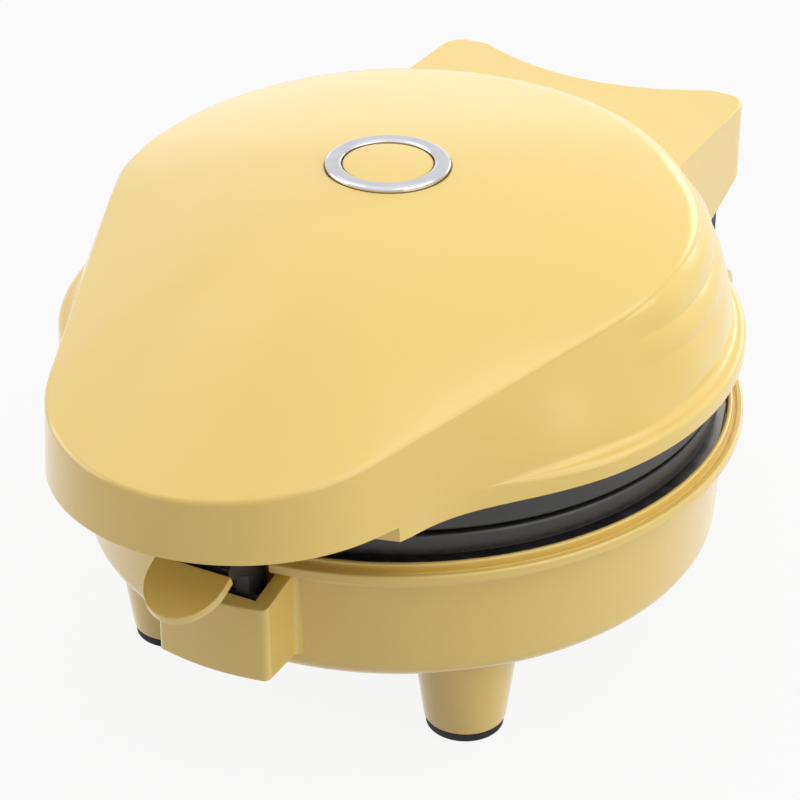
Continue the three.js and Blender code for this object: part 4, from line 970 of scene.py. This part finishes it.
def base_housing():
    low_z, inner = BASE_UNDER_Z - OVERRUN, BOWL_INNER_RADIUS - BOWL_TAPER / 2
    hollow = worked(
        prism(bracket_plan(WALL), BRACKET_Z[0] - OVERRUN, BRACKET_Z[1] - WALL),
        ("DIFFERENCE", bar(BOWL_RADIUS, low_z, RIM_Z, steps=WIDE_STEPS)),
    )
    outside = worked(
        eased(prism(bracket_plan(0), *BRACKET_Z), 0.6, wanted=behind_middle),
        ("DIFFERENCE", hollow),
        ("UNION", together(hinge_ear(-1), hinge_ear(1))),
        ("UNION", latch_block()),
        ("DIFFERENCE", bar(inner, BASE_FLOOR_Z, RIM_Z, steps=WIDE_STEPS)),
    )
    legs = together(*[leg(x, y) for x, y in LEGS.values()])
    boss_foot_z, boss_top_z = BASE_FLOOR_Z - ROOT_DEPTH, SHIELD_Z - SEAT_GAP
    bores = together(
        bars(SCREW_BORE, low_z, SHIELD_Z + OVERRUN, POSTS),
        bars(PLUG_RADIUS + SEAT_GAP, 0, PAD_HEIGHT + PLUG_HEIGHT + SEAT_GAP * 2, LEGS.values()),
    )
    sinks = bars(HEAD_BORE, low_z, BASE_HEAD_Z + HEAD_HEIGHT + SEAT_GAP, POSTS)
    pin_bores = together(hinge_bore(), latch_bore(LATCH_PIN_REACH + SEAT_GAP))
    gland_hole = turned(bar(GLAND_NECK + SEAT_GAP, *GLAND_HOLE_Y), -90, "X")
    mesh = worked(
        bowl(),
        ("UNION", outside),
        ("UNION", legs),
        ("UNION", bars(BASE_BOSS_RADIUS, boss_foot_z, boss_top_z, POSTS, BOSS_STEPS)),
        ("DIFFERENCE", latch_pocket()),
        ("DIFFERENCE", bores),
        ("DIFFERENCE", sinks),
        ("DIFFERENCE", pin_bores),
        ("DIFFERENCE", moved(gland_hole, 0, 0, GLAND_Z)),
    )
    piece("fine_base_housing", mesh, "base", "butter_plastic")


# Cooking plates

def ribs(floor_z, up):
    """Ribs across the floor of a pan that opens up (1) or down (-1)."""
    def above_floor(edge):
        return all((vert.co.z - floor_z) * up > 0.5 for vert in edge.verts)

    reach = PLATE_RADIUS - PLATE_RIM_WIDTH - PAN_DRAFT - RIB_END_GAP
    half = RIB_WIDTH / 2
    flank = [
        (half + 0.4, floor_z - up * RIB_ROOT, 0), (half + 0.4, floor_z - up * 0.02, 0),
        (half - 0.1, floor_z + up * RIB_FOOT_Z, 0.4),
        (RIB_CREST_WIDTH / 2, floor_z + up * RIB_HEIGHT, 0.5),
    ]
    made = []
    for i in range(int(reach / RIB_PITCH + 1 / 2)):
        for x in (-RIB_PITCH * (i + 1 / 2), RIB_PITCH * (i + 1 / 2)):
            right = [(x + out, z, rounding) for out, z, rounding in flank]
            left = [(x - out, z, rounding) for out, z, rounding in reversed(flank)]
            end = math.sqrt(reach**2 - (abs(x) + half) ** 2)
            rib = prism(rounded(right + left), -end, end, "y")
            made.append(eased(rib, 0.8, steps=4, over=60, wanted=above_floor))
    return together(*made)


def cooking_plate(name, body, face_z, up, rim_height, stud_z, cuts):
    """A ribbed pan that opens up (1) or down (-1), with a stud for each screw behind it."""
    pan_z, rim_z = face_z - up * PAN_DEPTH, face_z - up * rim_height
    back_z, inner = pan_z - up * PLATE_FLOOR, PLATE_RADIUS - PLATE_RIM_WIDTH
    pan = rounded([
        (inner - 0.6, back_z, 1.2), (inner + 2, rim_z, 1), (PLATE_RADIUS, rim_z, 0.6),
        (PLATE_RADIUS, face_z, 0.8), (inner, face_z, 1), (inner - PAN_DRAFT, pan_z, 1.6),
        (0, pan_z, 0), (0, back_z, 0),
    ])
    mesh = worked(
        spun(pan, steps=WIDE_STEPS),
        ("UNION", bars(POST_RADIUS, *stud_z, POSTS)),
        ("UNION", ribs(pan_z, up)),
        *[("DIFFERENCE", bars(radius, low, high, POSTS)) for radius, low, high in cuts],
    )
    piece(name, mesh, body, "plate_coating")


def cooking_plates():
    foot_z, under_z = SHIELD_Z + SHIELD_THICKNESS + SEAT_GAP, LOWER_PLATE_UNDER_Z
    cooking_plate(
        "fine_lower_plate", "base", LOWER_PLATE_TOP_Z, 1, LOWER_RIM_HEIGHT,
        (foot_z, under_z + SEAT_GAP),
        [(SCREW_BORE, foot_z - 1, under_z + STUD_BITE + SEAT_GAP)],
    )
    open_z = UPPER_PAN_Z - OVERRUN
    cooking_plate(
        "fine_upper_plate", "lid", UPPER_PLATE_UNDER_Z, -1, UPPER_RIM_HEIGHT,
        (UPPER_PLATE_BACK_Z - SEAT_GAP, UPPER_SHIELD_Z - SEAT_GAP),
        [
            (SCREW_BORE, open_z, UPPER_SHIELD_Z + OVERRUN),
            (HEAD_BORE, open_z, UPPER_PAN_Z + HEAD_HEIGHT + SCREW_GAP),
        ],
    )


# Fittings

def foot_pads():
    plug_top = PAD_HEIGHT + PLUG_HEIGHT
    profile = rounded([
        (PAD_RADIUS, 0, 0.5), (PAD_RADIUS, PAD_HEIGHT, 0.25), (PLUG_RADIUS, PAD_HEIGHT, 0.2),
        (PLUG_RADIUS, plug_top, 0.8), (0, plug_top, 0), (0, TREAD_DEPTH, 0),
        *[(radius, z, 0) for radius, z in TREAD],
    ])
    for name, (x, y) in LEGS.items():
        piece(f"fine_foot_pad_{name}", spun(profile, x, y, FOOT_STEPS), "base", "foot_rubber")


def cord_gland():
    collar_y = BOWL_INNER_RADIUS - BOWL_TAPER - SEAT_GAP * 3
    shoulder_y = BRACKET_REAR_Y - BRACKET_DIP + SEAT_GAP
    tail_y = NOSE_TIP + CAP_DRAFT
    collar, width = GLAND_COLLAR, GLAND_COLLAR_WIDTH
    start = shoulder_y + 2 * width
    pitch = (tail_y - start - 1) / GLAND_RIDGES
    ridges = [
        (radius, start + (i + share) * pitch)
        for i in range(GLAND_RIDGES)
        for radius, share in (
            (GLAND_RIDGE, 0), (GLAND_RIDGE, 0.6), (GLAND_VALLEY, 0.7), (GLAND_VALLEY, 0.95),
        )
    ]
    profile = [
        (GLAND_BORE, collar_y - width), (collar - 0.3, collar_y - width),
        (collar, collar_y - width + 0.3), (collar, collar_y),
        (GLAND_NECK, collar_y), (GLAND_NECK, shoulder_y), (collar, shoulder_y),
        (collar, shoulder_y + width - 0.5), (collar - 0.2, shoulder_y + width - 0.15),
        (collar - 0.6, shoulder_y + width), *ridges,
        (GLAND_TAIL, tail_y - 1), (GLAND_TAIL, tail_y - 0.3), (GLAND_TAIL - 0.2, tail_y),
        (GLAND_BORE, tail_y),
    ]
    mesh = moved(turned(spun(profile, steps=BOSS_STEPS), -90, "X"), 0, 0, GLAND_Z)
    piece("fine_cord_gland", mesh, "base", "black_plastic")


def screw_shape(place, head_z, tip_z):
    """A pan head screw with a crossed recess and a threaded shank."""
    towards = 1 if tip_z > head_z else -1
    rim_z = head_z + towards * HEAD_HEIGHT
    shank, z = [(SCREW_RADIUS, rim_z)], head_z + towards * (HEAD_HEIGHT + 0.8)
    while (tip_z - z) * towards > SCREW_RADIUS:
        shank.append((SCREW_RADIUS - THREAD_DEPTH * (len(shank) % 2), z))
        z += towards * THREAD_STEP
    profile = [
        (0, head_z), (HEAD_RADIUS - 1.2, head_z + towards * 0.05),
        (HEAD_RADIUS - 0.4, head_z + towards * 0.4), (HEAD_RADIUS, head_z + towards),
        (HEAD_RADIUS, rim_z), *shank, (0.4, tip_z), (0, tip_z),
    ]
    low, high = sorted((head_z - towards * 0.5, head_z + towards * RECESS_DEPTH))
    reach, half = RECESS_REACH, RECESS_HALF_WIDTH
    recess = together(*[
        box((-x, -y, low), (x, y, high)) for x, y in ((reach, half), (half, reach))
    ])
    return moved(worked(spun(profile, steps=BAR_STEPS), ("DIFFERENCE", recess)), *place)


def screws():
    arm_head_z = ARM_TOP_Z - ARM_FOOT_HEIGHT - HEAD_HEIGHT - SEAT_GAP
    for kind, body, places, head_z, tip_z in (
        ("base", "base", POSTS, BASE_HEAD_Z, LOWER_PLATE_UNDER_Z + STUD_BITE),
        ("plate", "lid", POSTS, UPPER_PAN_Z + SCREW_GAP, LID_POST_FOOT_Z + POST_BITE),
        ("hinge", "lid", HINGE_SCREWS, arm_head_z, EAR_ROOF_Z - SEAT_GAP * 2),
    ):
        mesh = together(*[screw_shape(place, head_z, tip_z) for place in places])
        names = [f"{kind}_screw_{i}" for i in range(1, 5)]
        piece(f"fine_{kind}_screws", mesh, body, "screw_steel", names)


def hinge_arm(side):
    rear_y, front_y = HINGE_Y + ARM_REAR, HINGE_Y - ARM_FRONT
    outline = [
        (rear_y, ARM_TOP_Z),
        (front_y, ARM_TOP_Z),
        *arc(HINGE_Y, HINGE_Z, HUB_RADIUS, 175, 365, 24),
        (rear_y, HINGE_Z + 2 * HUB_RADIUS),
    ]
    low, high = sorted(side * x for x in ARM_X)
    web = eased(prism(outline, low, high, "x"), 0.5)
    middle, half = HINGE_Y - ARM_FRONT / 2, HINGE_SCREW_SPREAD + POST_RADIUS
    low, high = sorted((side * (ARM_X[0] - ARM_FOOT_REACH), side * (ARM_X[0] + 1)))
    foot = box(
        (low, middle - half, ARM_TOP_Z - ARM_FOOT_HEIGHT), (high, middle + half, ARM_TOP_Z),
    )
    places = [place for place in HINGE_SCREWS if place[0] * side > 0]
    bores = together(
        hinge_bore(), bars(SCREW_BORE, ARM_TOP_Z - OVERRUN, ARM_TOP_Z + OVERRUN, places),
    )
    mesh = worked(web, ("UNION", eased(foot, 0.4)), ("DIFFERENCE", bores))
    piece(f"fine_hinge_arm_{'right' if side > 0 else 'left'}", mesh, "lid", "black_plastic")


def pin(name, radius, low, high, y, z):
    mesh = eased(cross_bar(radius, low, high, y, z), radius * 0.2, steps=2, over=60)
    piece(name, mesh, "base", "screw_steel")


def pins():
    inner, outer = ARM_X[0] - SEAT_GAP, HINGE_EAR_X[1] - SEAT_GAP
    pin("fine_hinge_pin_left", HINGE_PIN_RADIUS, -outer, -inner, HINGE_Y, HINGE_Z)
    pin("fine_hinge_pin_right", HINGE_PIN_RADIUS, inner, outer, HINGE_Y, HINGE_Z)
    reach = LATCH_PIN_REACH
    pin("fine_latch_pin", LATCH_PIN_RADIUS, -reach, reach, LATCH_PIN_Y, LATCH_PIN_Z)


def latch_spring():
    """The coil behind the lever's tail. Its rear end stays and its front end is pushed back."""
    low, high = [[side / MM for side in corner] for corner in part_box("latch_spring")]
    x, z = (low[0] + high[0]) / 2, (low[2] + high[2]) / 2
    reach, length = (high[0] - low[0] - SPRING_WIRE) / 2, high[1] - low[1] - SPRING_WIRE
    steps, wire, along = SPRING_TURNS * SPRING_TURN_STEPS, SPRING_WIRE / 2, Vector((0, 1, 0))
    rings = []
    for step in range(steps + 1):
        angle = math.tau * step / SPRING_TURN_STEPS
        out = Vector((math.cos(angle), 0, math.sin(angle)))
        middle = Vector((x, low[1] + wire + length * step / steps, z)) + reach * out
        rings.append([
            tuple(middle + wire * (math.cos(turn) * out + math.sin(turn) * along))
            for turn in (math.tau * share for share in steps_to(SPRING_WIRE_STEPS))
        ])
    coil = piece("fine_latch_spring", lofted(rings), "base", "screw_steel")
    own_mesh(coil)


def tilted(mesh):
    """Brings a mesh drawn level, with its chord at the origin, to the place and tilt of the tab."""
    return moved(turned(mesh, math.degrees(TAB_TILT), "X"), 0, -TAB_CHORD_Y, TAB_TOP_Z)


def latch_lever():
    back, front = LATCH_PIN_Y + LEVER_BACK, LATCH_PIN_Y - LEVER_FRONT
    top, tail = LATCH_PIN_Z + LEVER_BODY_HEIGHT, LATCH_PIN_Z - LEVER_TAIL
    thick = SHELF_THICKNESS
    body = prism(rounded([
        (front + TAIL_THICKNESS / 2, tail, 0.6), (front + TAIL_THICKNESS * 1.5, tail, 0.6),
        (front + TAIL_THICKNESS * 1.5, LATCH_PIN_Z - HUB_HALF, 0.8),
        (back, LATCH_PIN_Z - HUB_HALF / 2, 1.2), (back, top, 0.8),
        (back - thick, top + thick, 0.6),
        (-HOOK_REAR_Y, SHELF_TOP_Z + thick / 2, 0.4), (-HOOK_FRONT_Y, SHELF_TOP_Z, 0.3),
        (-HOOK_FRONT_Y, SHELF_TOP_Z - thick, 0.4), (front, SHELF_TOP_Z - 2 * thick, 1),
        (front, LATCH_PIN_Z + HUB_HALF / 2, 0.8), (front + TAIL_THICKNESS / 2, LATCH_PIN_Z, 0.8),
    ], 4), -LEVER_HALF_WIDTH, LEVER_HALF_WIDTH, "x")
    hook = prism(rounded([
        (-HOOK_REAR_Y, SHELF_TOP_Z - thick / 2, 0), (-HOOK_REAR_Y, HOOK_UNDER_Z, 0.2),
        (-HOOK_TIP_Y, HOOK_UNDER_Z, 0.2), (-HOOK_TIP_Y, HOOK_UNDER_Z + HOOK_HEIGHT / 2, 0.3),
        (-HOOK_REAR_Y, HOOK_UNDER_Z + HOOK_HEIGHT, 0.3),
        (-HOOK_FRONT_Y, HOOK_UNDER_Z + HOOK_HEIGHT, 0.5),
        (-HOOK_FRONT_Y, SHELF_TOP_Z - thick / 2, 0),
    ], 3), -HOOK_HALF_WIDTH, HOOK_HALF_WIDTH, "x")
    tongue = box(
        (-TONGUE_HALF_WIDTH, -TONGUE_LENGTH, -TAB_THICKNESS - SEAT_GAP - TONGUE_THICKNESS),
        (TONGUE_HALF_WIDTH, thick, -TAB_THICKNESS - SEAT_GAP),
    )
    window = box(
        (-WINDOW_HALF_WIDTH, front - 1, WINDOW_Z[0]),
        (WINDOW_HALF_WIDTH, front + WINDOW_DEPTH, WINDOW_Z[1]),
    )
    mesh = worked(
        eased(body, 0.3, steps=2, over=60),
        ("UNION", hook),
        ("UNION", tilted(tongue)),
        ("DIFFERENCE", latch_bore(THROUGH)),
        ("DIFFERENCE", eased(window, 0.4)),
    )
    piece("fine_latch_lever", mesh, "latch", "black_plastic")


def thumb_tab():
    """D-shaped tab with softened edges, tilted down towards the front."""
    reach = TAB_LENGTH - TAB_STRAIGHT
    bow = [(TAB_HALF_WIDTH * x, -TAB_STRAIGHT - reach * y) for x, y in arc(0, 0, 1, 0, 180, 64)]
    outline = [(-TAB_HALF_WIDTH, 0), (TAB_HALF_WIDTH, 0), *bow]
    mesh = tilted(eased(prism(outline, -TAB_THICKNESS, 0), 0.28, over=50))
    piece("fine_thumb_tab", mesh, "latch", "butter_plastic")


def latch_keeper():
    back, front = -CROSS_FRONT_Y - SEAT_GAP, -KEEPER_FRONT_Y
    outline = rounded([
        (back, KEEPER_TOP_Z, 0), (front, KEEPER_TOP_Z, 0.3),
        (front, KEEPER_TOP_Z - KEEPER_HEIGHT / 2, 0.3),
        (front + KEEPER_DEPTH / 2, LID_UNDER_Z, 0.2), (back, LID_UNDER_Z, 0),
    ], 3)
    mesh = prism(outline, -KEEPER_HALF_WIDTH, KEEPER_HALF_WIDTH, "x")
    piece("fine_latch_keeper", eased(mesh, 0.2, steps=2, over=60), "lid", "black_plastic")


# Finishes

def add(tree, kind, inputs=None, **settings):
    """A node with its settings and inputs. An input is a value or another node's output."""
    made = tree.nodes.new(kind)
    for name, value in settings.items():
        setattr(made, name, value)
    for name, value in (inputs or {}).items():
        if isinstance(value, bpy.types.NodeSocket):
            tree.links.new(value, made.inputs[name])
        else:
            made.inputs[name].default_value = value
    return made


def noise(tree, place, scale, detail, roughness=0.5):
    return add(tree, "ShaderNodeTexNoise", {
        "Vector": place, "Scale": scale, "Detail": detail, "Roughness": roughness,
    }).outputs["Fac"]


def ranged(tree, value, **ends):
    """A value stretched from one range to another. Each end not given is 0 or 1."""
    named = {label.replace("_", " "): end for label, end in ends.items()}
    return add(tree, "ShaderNodeMapRange", {"Value": value, **named}).outputs["Result"]


def calculated(tree, operation, first, second, use_clamp=False):
    inputs = {0: first, 1: second}
    return add(tree, "ShaderNodeMath", inputs, operation=operation, use_clamp=use_clamp).outputs[0]


def object_place(tree):
    return add(tree, "ShaderNodeTexCoord").outputs["Object"]


def effect(name, inputs, build):
    """A node group with named number inputs and the outputs that its builder gives."""
    group = bpy.data.node_groups.new(name, "ShaderNodeTree")
    for label, value in inputs.items():
        socket = group.interface.new_socket(label, in_out="INPUT", socket_type="NodeSocketFloat")
        socket.default_value = value
    results = build(group, add(group, "NodeGroupInput").outputs)
    for label in results:
        group.interface.new_socket(label, in_out="OUTPUT", socket_type="NodeSocketFloat")
    add(group, "NodeGroupOutput", results)
    return group


def moulded_skin(group, given):
    """Fine peel of a moulded or coated surface, and a broad mottle, both from 0 to 1."""
    place = object_place(group)
    mottle = noise(group, place, given["Mottle Scale"], 4.0, 0.6)
    return {
        "Height": noise(group, place, given["Peel Scale"], 3.0, 0.45),
        "Mottle": ranged(group, mottle, From_Min=0.3, From_Max=0.7),
    }


def fine_scratches(group, given):
    """Thin hair lines that run along X, from 0 to 1."""
    size = add(group, "ShaderNodeCombineXYZ", {"X": given["Stretch"], "Y": 1.0, "Z": 1.0})
    line = add(group, "ShaderNodeMapping", {
        "Vector": object_place(group), "Scale": size.outputs["Vector"],
    })
    hair = noise(group, line.outputs["Vector"], given["Scale"], 5.0, 0.7)
    return {"Mask": ranged(group, hair, From_Min=0.45, From_Max=0.75), "Height": hair}


def settled_dust(group, given):
    """Where a little dust rests: on faces that look up, in patches."""
    normal = add(group, "ShaderNodeNewGeometry").outputs["Normal"]
    upward = add(group, "ShaderNodeSeparateXYZ", {"Vector": normal}).outputs["Z"]
    patches = noise(group, object_place(group), given["Patch Scale"], 6.0, 0.7)
    level = ranged(group, upward, From_Min=0.3, From_Max=1.0)
    patch = ranged(group, patches, From_Min=0.45, From_Max=0.8)
    both = calculated(group, "MULTIPLY", level, patch)
    return {"Mask": calculated(group, "MULTIPLY", both, given["Amount"])}


def grey(value):
    return (value, value, value, 1)


class Finish:
    """The material of a slot: a Principled BSDF with the shared effects."""

    def __init__(self, slot, name, **surface):
        material = FINISHES[slot] = bpy.data.materials.new(name)
        material.use_nodes = True
        self.tree = material.node_tree
        self.surface = self.tree.nodes["Principled BSDF"]
        for label, value in surface.items():
            self.surface.inputs[label.replace("_", " ")].default_value = value

    def use(self, group, **values):
        """Places a shared effect with its own values."""
        made = add(self.tree, "ShaderNodeGroup", node_tree=group)
        for label, value in values.items():
            made.inputs[label.replace("_", " ")].default_value = value
        return made.outputs

    def colour(self, share, low, high):
        blend = add(self.tree, "ShaderNodeMix", {0: share, 6: low, 7: high}, data_type="RGBA")
        self.tree.links.new(blend.outputs[2], self.surface.inputs["Base Color"])

    def roughness(self, share, low, high):
        spread = ranged(self.tree, share, To_Min=low, To_Max=high)
        self.tree.links.new(spread, self.surface.inputs["Roughness"])

    def bump(self, height, strength, distance):
        inputs = {"Height": height, "Strength": strength, "Distance": distance}
        made = add(self.tree, "ShaderNodeBump", inputs)
        self.tree.links.new(made.outputs["Normal"], self.surface.inputs["Normal"])

    def sum(self, first, second):
        return calculated(self.tree, "ADD", first, second)


def finishes():
    skin = effect("moulded_skin", {"Peel Scale": 900, "Mottle Scale": 60}, moulded_skin)
    scratches = effect("fine_scratches", {"Scale": 300, "Stretch": 0.06}, fine_scratches)
    dust = effect("settled_dust", {"Patch Scale": 120, "Amount": 0.3}, settled_dust)

    butter = Finish(
        "butter_plastic", "butter_moulding", IOR=1.5, Coat_Weight=0.6, Coat_Roughness=0.12,
    )
    peel = butter.use(skin, Peel_Scale=420, Mottle_Scale=38)
    butter.colour(peel["Mottle"], (0.865, 0.616, 0.154, 1), (0.875, 0.626, 0.162, 1))
    butter.roughness(butter.sum(peel["Mottle"], butter.use(dust, Amount=0.5)["Mask"]), 0.2, 0.27)
    butter.bump(peel["Height"], 0.08, 0.0003)

    black = Finish("black_plastic", "black_moulding", IOR=1.48)
    grain = black.use(skin, Peel_Scale=2600, Mottle_Scale=90)
    black.colour(grain["Mottle"], grey(0.008), grey(0.014))
    black.roughness(black.sum(grain["Mottle"], black.use(dust)["Mask"]), 0.36, 0.48)
    black.bump(grain["Height"], 0.25, 0.0001)

    rubber = Finish("foot_rubber", "pad_rubber")
    grain = rubber.use(skin, Peel_Scale=3200, Mottle_Scale=140)
    rubber.colour(rubber.use(dust, Amount=0.8)["Mask"], grey(0.012), (0.05, 0.048, 0.045, 1))
    rubber.roughness(grain["Mottle"], 0.68, 0.85)
    rubber.bump(grain["Height"], 0.4, 0.0001)

    coating = Finish("plate_coating", "dark_coating", IOR=1.6)
    grain = coating.use(skin, Peel_Scale=1500, Mottle_Scale=420)
    coating.colour(grain["Mottle"], grey(0.02), grey(0.03))
    hair = coating.use(scratches, Scale=260, Stretch=0.05)
    coating.roughness(coating.sum(grain["Mottle"], hair["Mask"]), 0.27, 0.42)
    coating.bump(grain["Height"], 0.15, 0.0002)

    chrome = Finish("ring_chrome", "polished_chrome", Metallic=1.0)
    grain = chrome.use(skin, Mottle_Scale=200)
    chrome.colour(grain["Mottle"], (0.58, 0.58, 0.62, 1), (0.64, 0.64, 0.68, 1))
    chrome.roughness(chrome.use(scratches, Scale=900, Stretch=0.2)["Mask"], 0.06, 0.16)
    chrome.bump(grain["Height"], 0.02, 0.0001)

    sheet = Finish("shield_sheet", "rolled_sheet", Metallic=1.0)
    hair = sheet.use(scratches, Scale=420, Stretch=0.03)
    sheet.colour(hair["Mask"], (0.5, 0.51, 0.53, 1), (0.62, 0.63, 0.65, 1))
    sheet.roughness(hair["Height"], 0.25, 0.5)
    sheet.bump(hair["Height"], 0.12, 0.0002)

    element = Finish("element_steel", "oxidised_steel", Metallic=1.0)
    grain = element.use(skin, Peel_Scale=800, Mottle_Scale=70)
    element.colour(grain["Mottle"], (0.2, 0.18, 0.16, 1), (0.34, 0.33, 0.34, 1))
    element.roughness(grain["Mottle"], 0.42, 0.62)
    element.bump(grain["Height"], 0.2, 0.0002)

    steel = Finish("screw_steel", "turned_steel", Metallic=1.0)
    grain = steel.use(skin, Peel_Scale=1400, Mottle_Scale=220)
    steel.colour(grain["Mottle"], (0.48, 0.49, 0.5, 1), (0.62, 0.62, 0.64, 1))
    steel.roughness(steel.use(scratches, Scale=1400, Stretch=0.3)["Mask"], 0.22, 0.4)
    steel.bump(grain["Height"], 0.08, 0.0001)

    ceramic = Finish("ceramic", "glazed_ceramic", IOR=1.5)
    grain = ceramic.use(skin, Peel_Scale=1200, Mottle_Scale=700)
    ceramic.colour(grain["Mottle"], (0.68, 0.66, 0.6, 1), (0.82, 0.8, 0.75, 1))
    ceramic.roughness(grain["Mottle"], 0.5, 0.68)
    ceramic.bump(grain["Height"], 0.2, 0.0002)

    cover = Finish("lead_cover", "woven_cover")
    weave = add(cover.tree, "ShaderNodeTexWave", {
        "Vector": object_place(cover.tree), "Scale": 420.0, "Distortion": 1.5,
    }, bands_direction="DIAGONAL")
    cover.colour(weave.outputs["Fac"], (0.5, 0.46, 0.36, 1), (0.78, 0.74, 0.62, 1))
    cover.roughness(cover.use(dust)["Mask"], 0.7, 0.9)
    cover.bump(weave.outputs["Fac"], 0.5, 0.0003)


def dress_inner_nodes():
    """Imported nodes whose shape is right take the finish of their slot."""
    for slot, names in (
        ("shield_sheet", ("lower_heat_shield", "upper_heat_shield", "thermostat")),
        ("element_steel", ("lower_element", "upper_element")),
        ("screw_steel", ("thermal_fuse",)),
        ("ceramic", ("terminal_block",)),
        ("lead_cover", ("lead_left", "lead_right")),
    ):
        for name in names:
            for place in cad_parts[name].material_slots:
                place.material = FINISHES[slot]


# Studio

def hang(name, data, target, azimuth, elevation, distance):
    """A camera or lamp that faces a target. Azimuth 0 is in front of it, 90 at its right."""
    azimuth, elevation = math.radians(azimuth), math.radians(elevation)
    away = Vector((
        math.sin(azimuth) * math.cos(elevation), -math.cos(azimuth) * math.cos(elevation),
        math.sin(elevation),
    ))
    hung = bpy.data.objects.new(name, data)
    bpy.context.scene.collection.objects.link(hung)
    hung.location = Vector(target) + away * distance
    hung.rotation_euler = away.to_track_quat("Z", "Y").to_euler()
    return hung


def camera():
    lens = bpy.data.cameras.new("camera")
    lens.lens, lens.sensor_width, lens.clip_start = CAMERA_LENS, 36, 0.01
    bpy.context.scene.camera = hang("camera", lens, CAMERA_TARGET, *CAMERA_PLACE)


def softboxes():
    for name, azimuth, elevation, distance, width, height, power in LAMPS:
        light = bpy.data.lights.new(name, "AREA")
        light.shape, light.size, light.size_y, light.energy = "RECTANGLE", width, height, power
        hang(name, light, LAMP_TARGET, azimuth, elevation, distance)


def background_rays(tree):
    """One for the rays that see the background: from the camera, off metal and through glass."""
    rays = add(tree, "ShaderNodeLightPath").outputs
    seen = calculated(tree, "ADD", rays["Is Camera Ray"], rays["Is Transmission Ray"])
    return calculated(tree, "ADD", seen, rays["Is Glossy Ray"], use_clamp=True)


def empty_tree(owner):
    owner.use_nodes = True
    owner.node_tree.nodes.clear()
    return owner.node_tree


def blended(tree, share, first, second):
    inputs = {0: share, 1: first.outputs[0], 2: second.outputs[0]}
    return add(tree, "ShaderNodeMixShader", inputs).outputs[0]


def surroundings():
    """A white background, and softer light that comes mostly from behind the object."""
    world = bpy.context.scene.world = bpy.data.worlds.new("studio")
    tree = empty_tree(world)
    way = add(tree, "ShaderNodeTexCoord").outputs["Generated"]
    rearward = add(tree, "ShaderNodeSeparateXYZ", {"Vector": way}).outputs["Y"]
    level = ranged(tree, rearward, From_Min=-1.0, To_Min=0.0, To_Max=1.2)
    soft = add(tree, "ShaderNodeBackground", {"Color": grey(1), "Strength": level})
    white = add(tree, "ShaderNodeBackground", {"Color": grey(1), "Strength": 1.0})
    both = blended(tree, background_rays(tree), soft, white)
    add(tree, "ShaderNodeOutputWorld", {"Surface": both})


def paper_floor():
    mesh = bmesh.new()
    bmesh.ops.create_grid(mesh, x_segments=1, y_segments=1, size=FLOOR_SIZE)
    floor = bench_object("floor", mesh)
    paper = bpy.data.materials.new("floor_paper")
    tree = empty_tree(paper)
    fibre = noise(tree, object_place(tree), 900.0, 3.0)
    tone = ranged(tree, fibre, To_Min=0.53, To_Max=0.57)
    matt = add(tree, "ShaderNodeBsdfDiffuse", {"Color": tone})
    glow = add(tree, "ShaderNodeEmission", {"Color": grey(1), "Strength": 1.0})
    share = calculated(tree, "MULTIPLY", background_rays(tree), 0.9)
    add(tree, "ShaderNodeOutputMaterial", {"Surface": blended(tree, share, matt, glow)})
    floor.data.materials.append(paper)


camera()
finishes()
lid_cover()
ring_pieces()
base_housing()
cooking_plates()
foot_pads()
cord_gland()
screws()
hinge_arm(-1)
hinge_arm(1)
pins()
latch_spring()
latch_lever()
thumb_tab()
latch_keeper()
dress_inner_nodes()
surroundings()
paper_floor()
softboxes()
bpy.context.scene.view_settings.view_transform = "Standard"
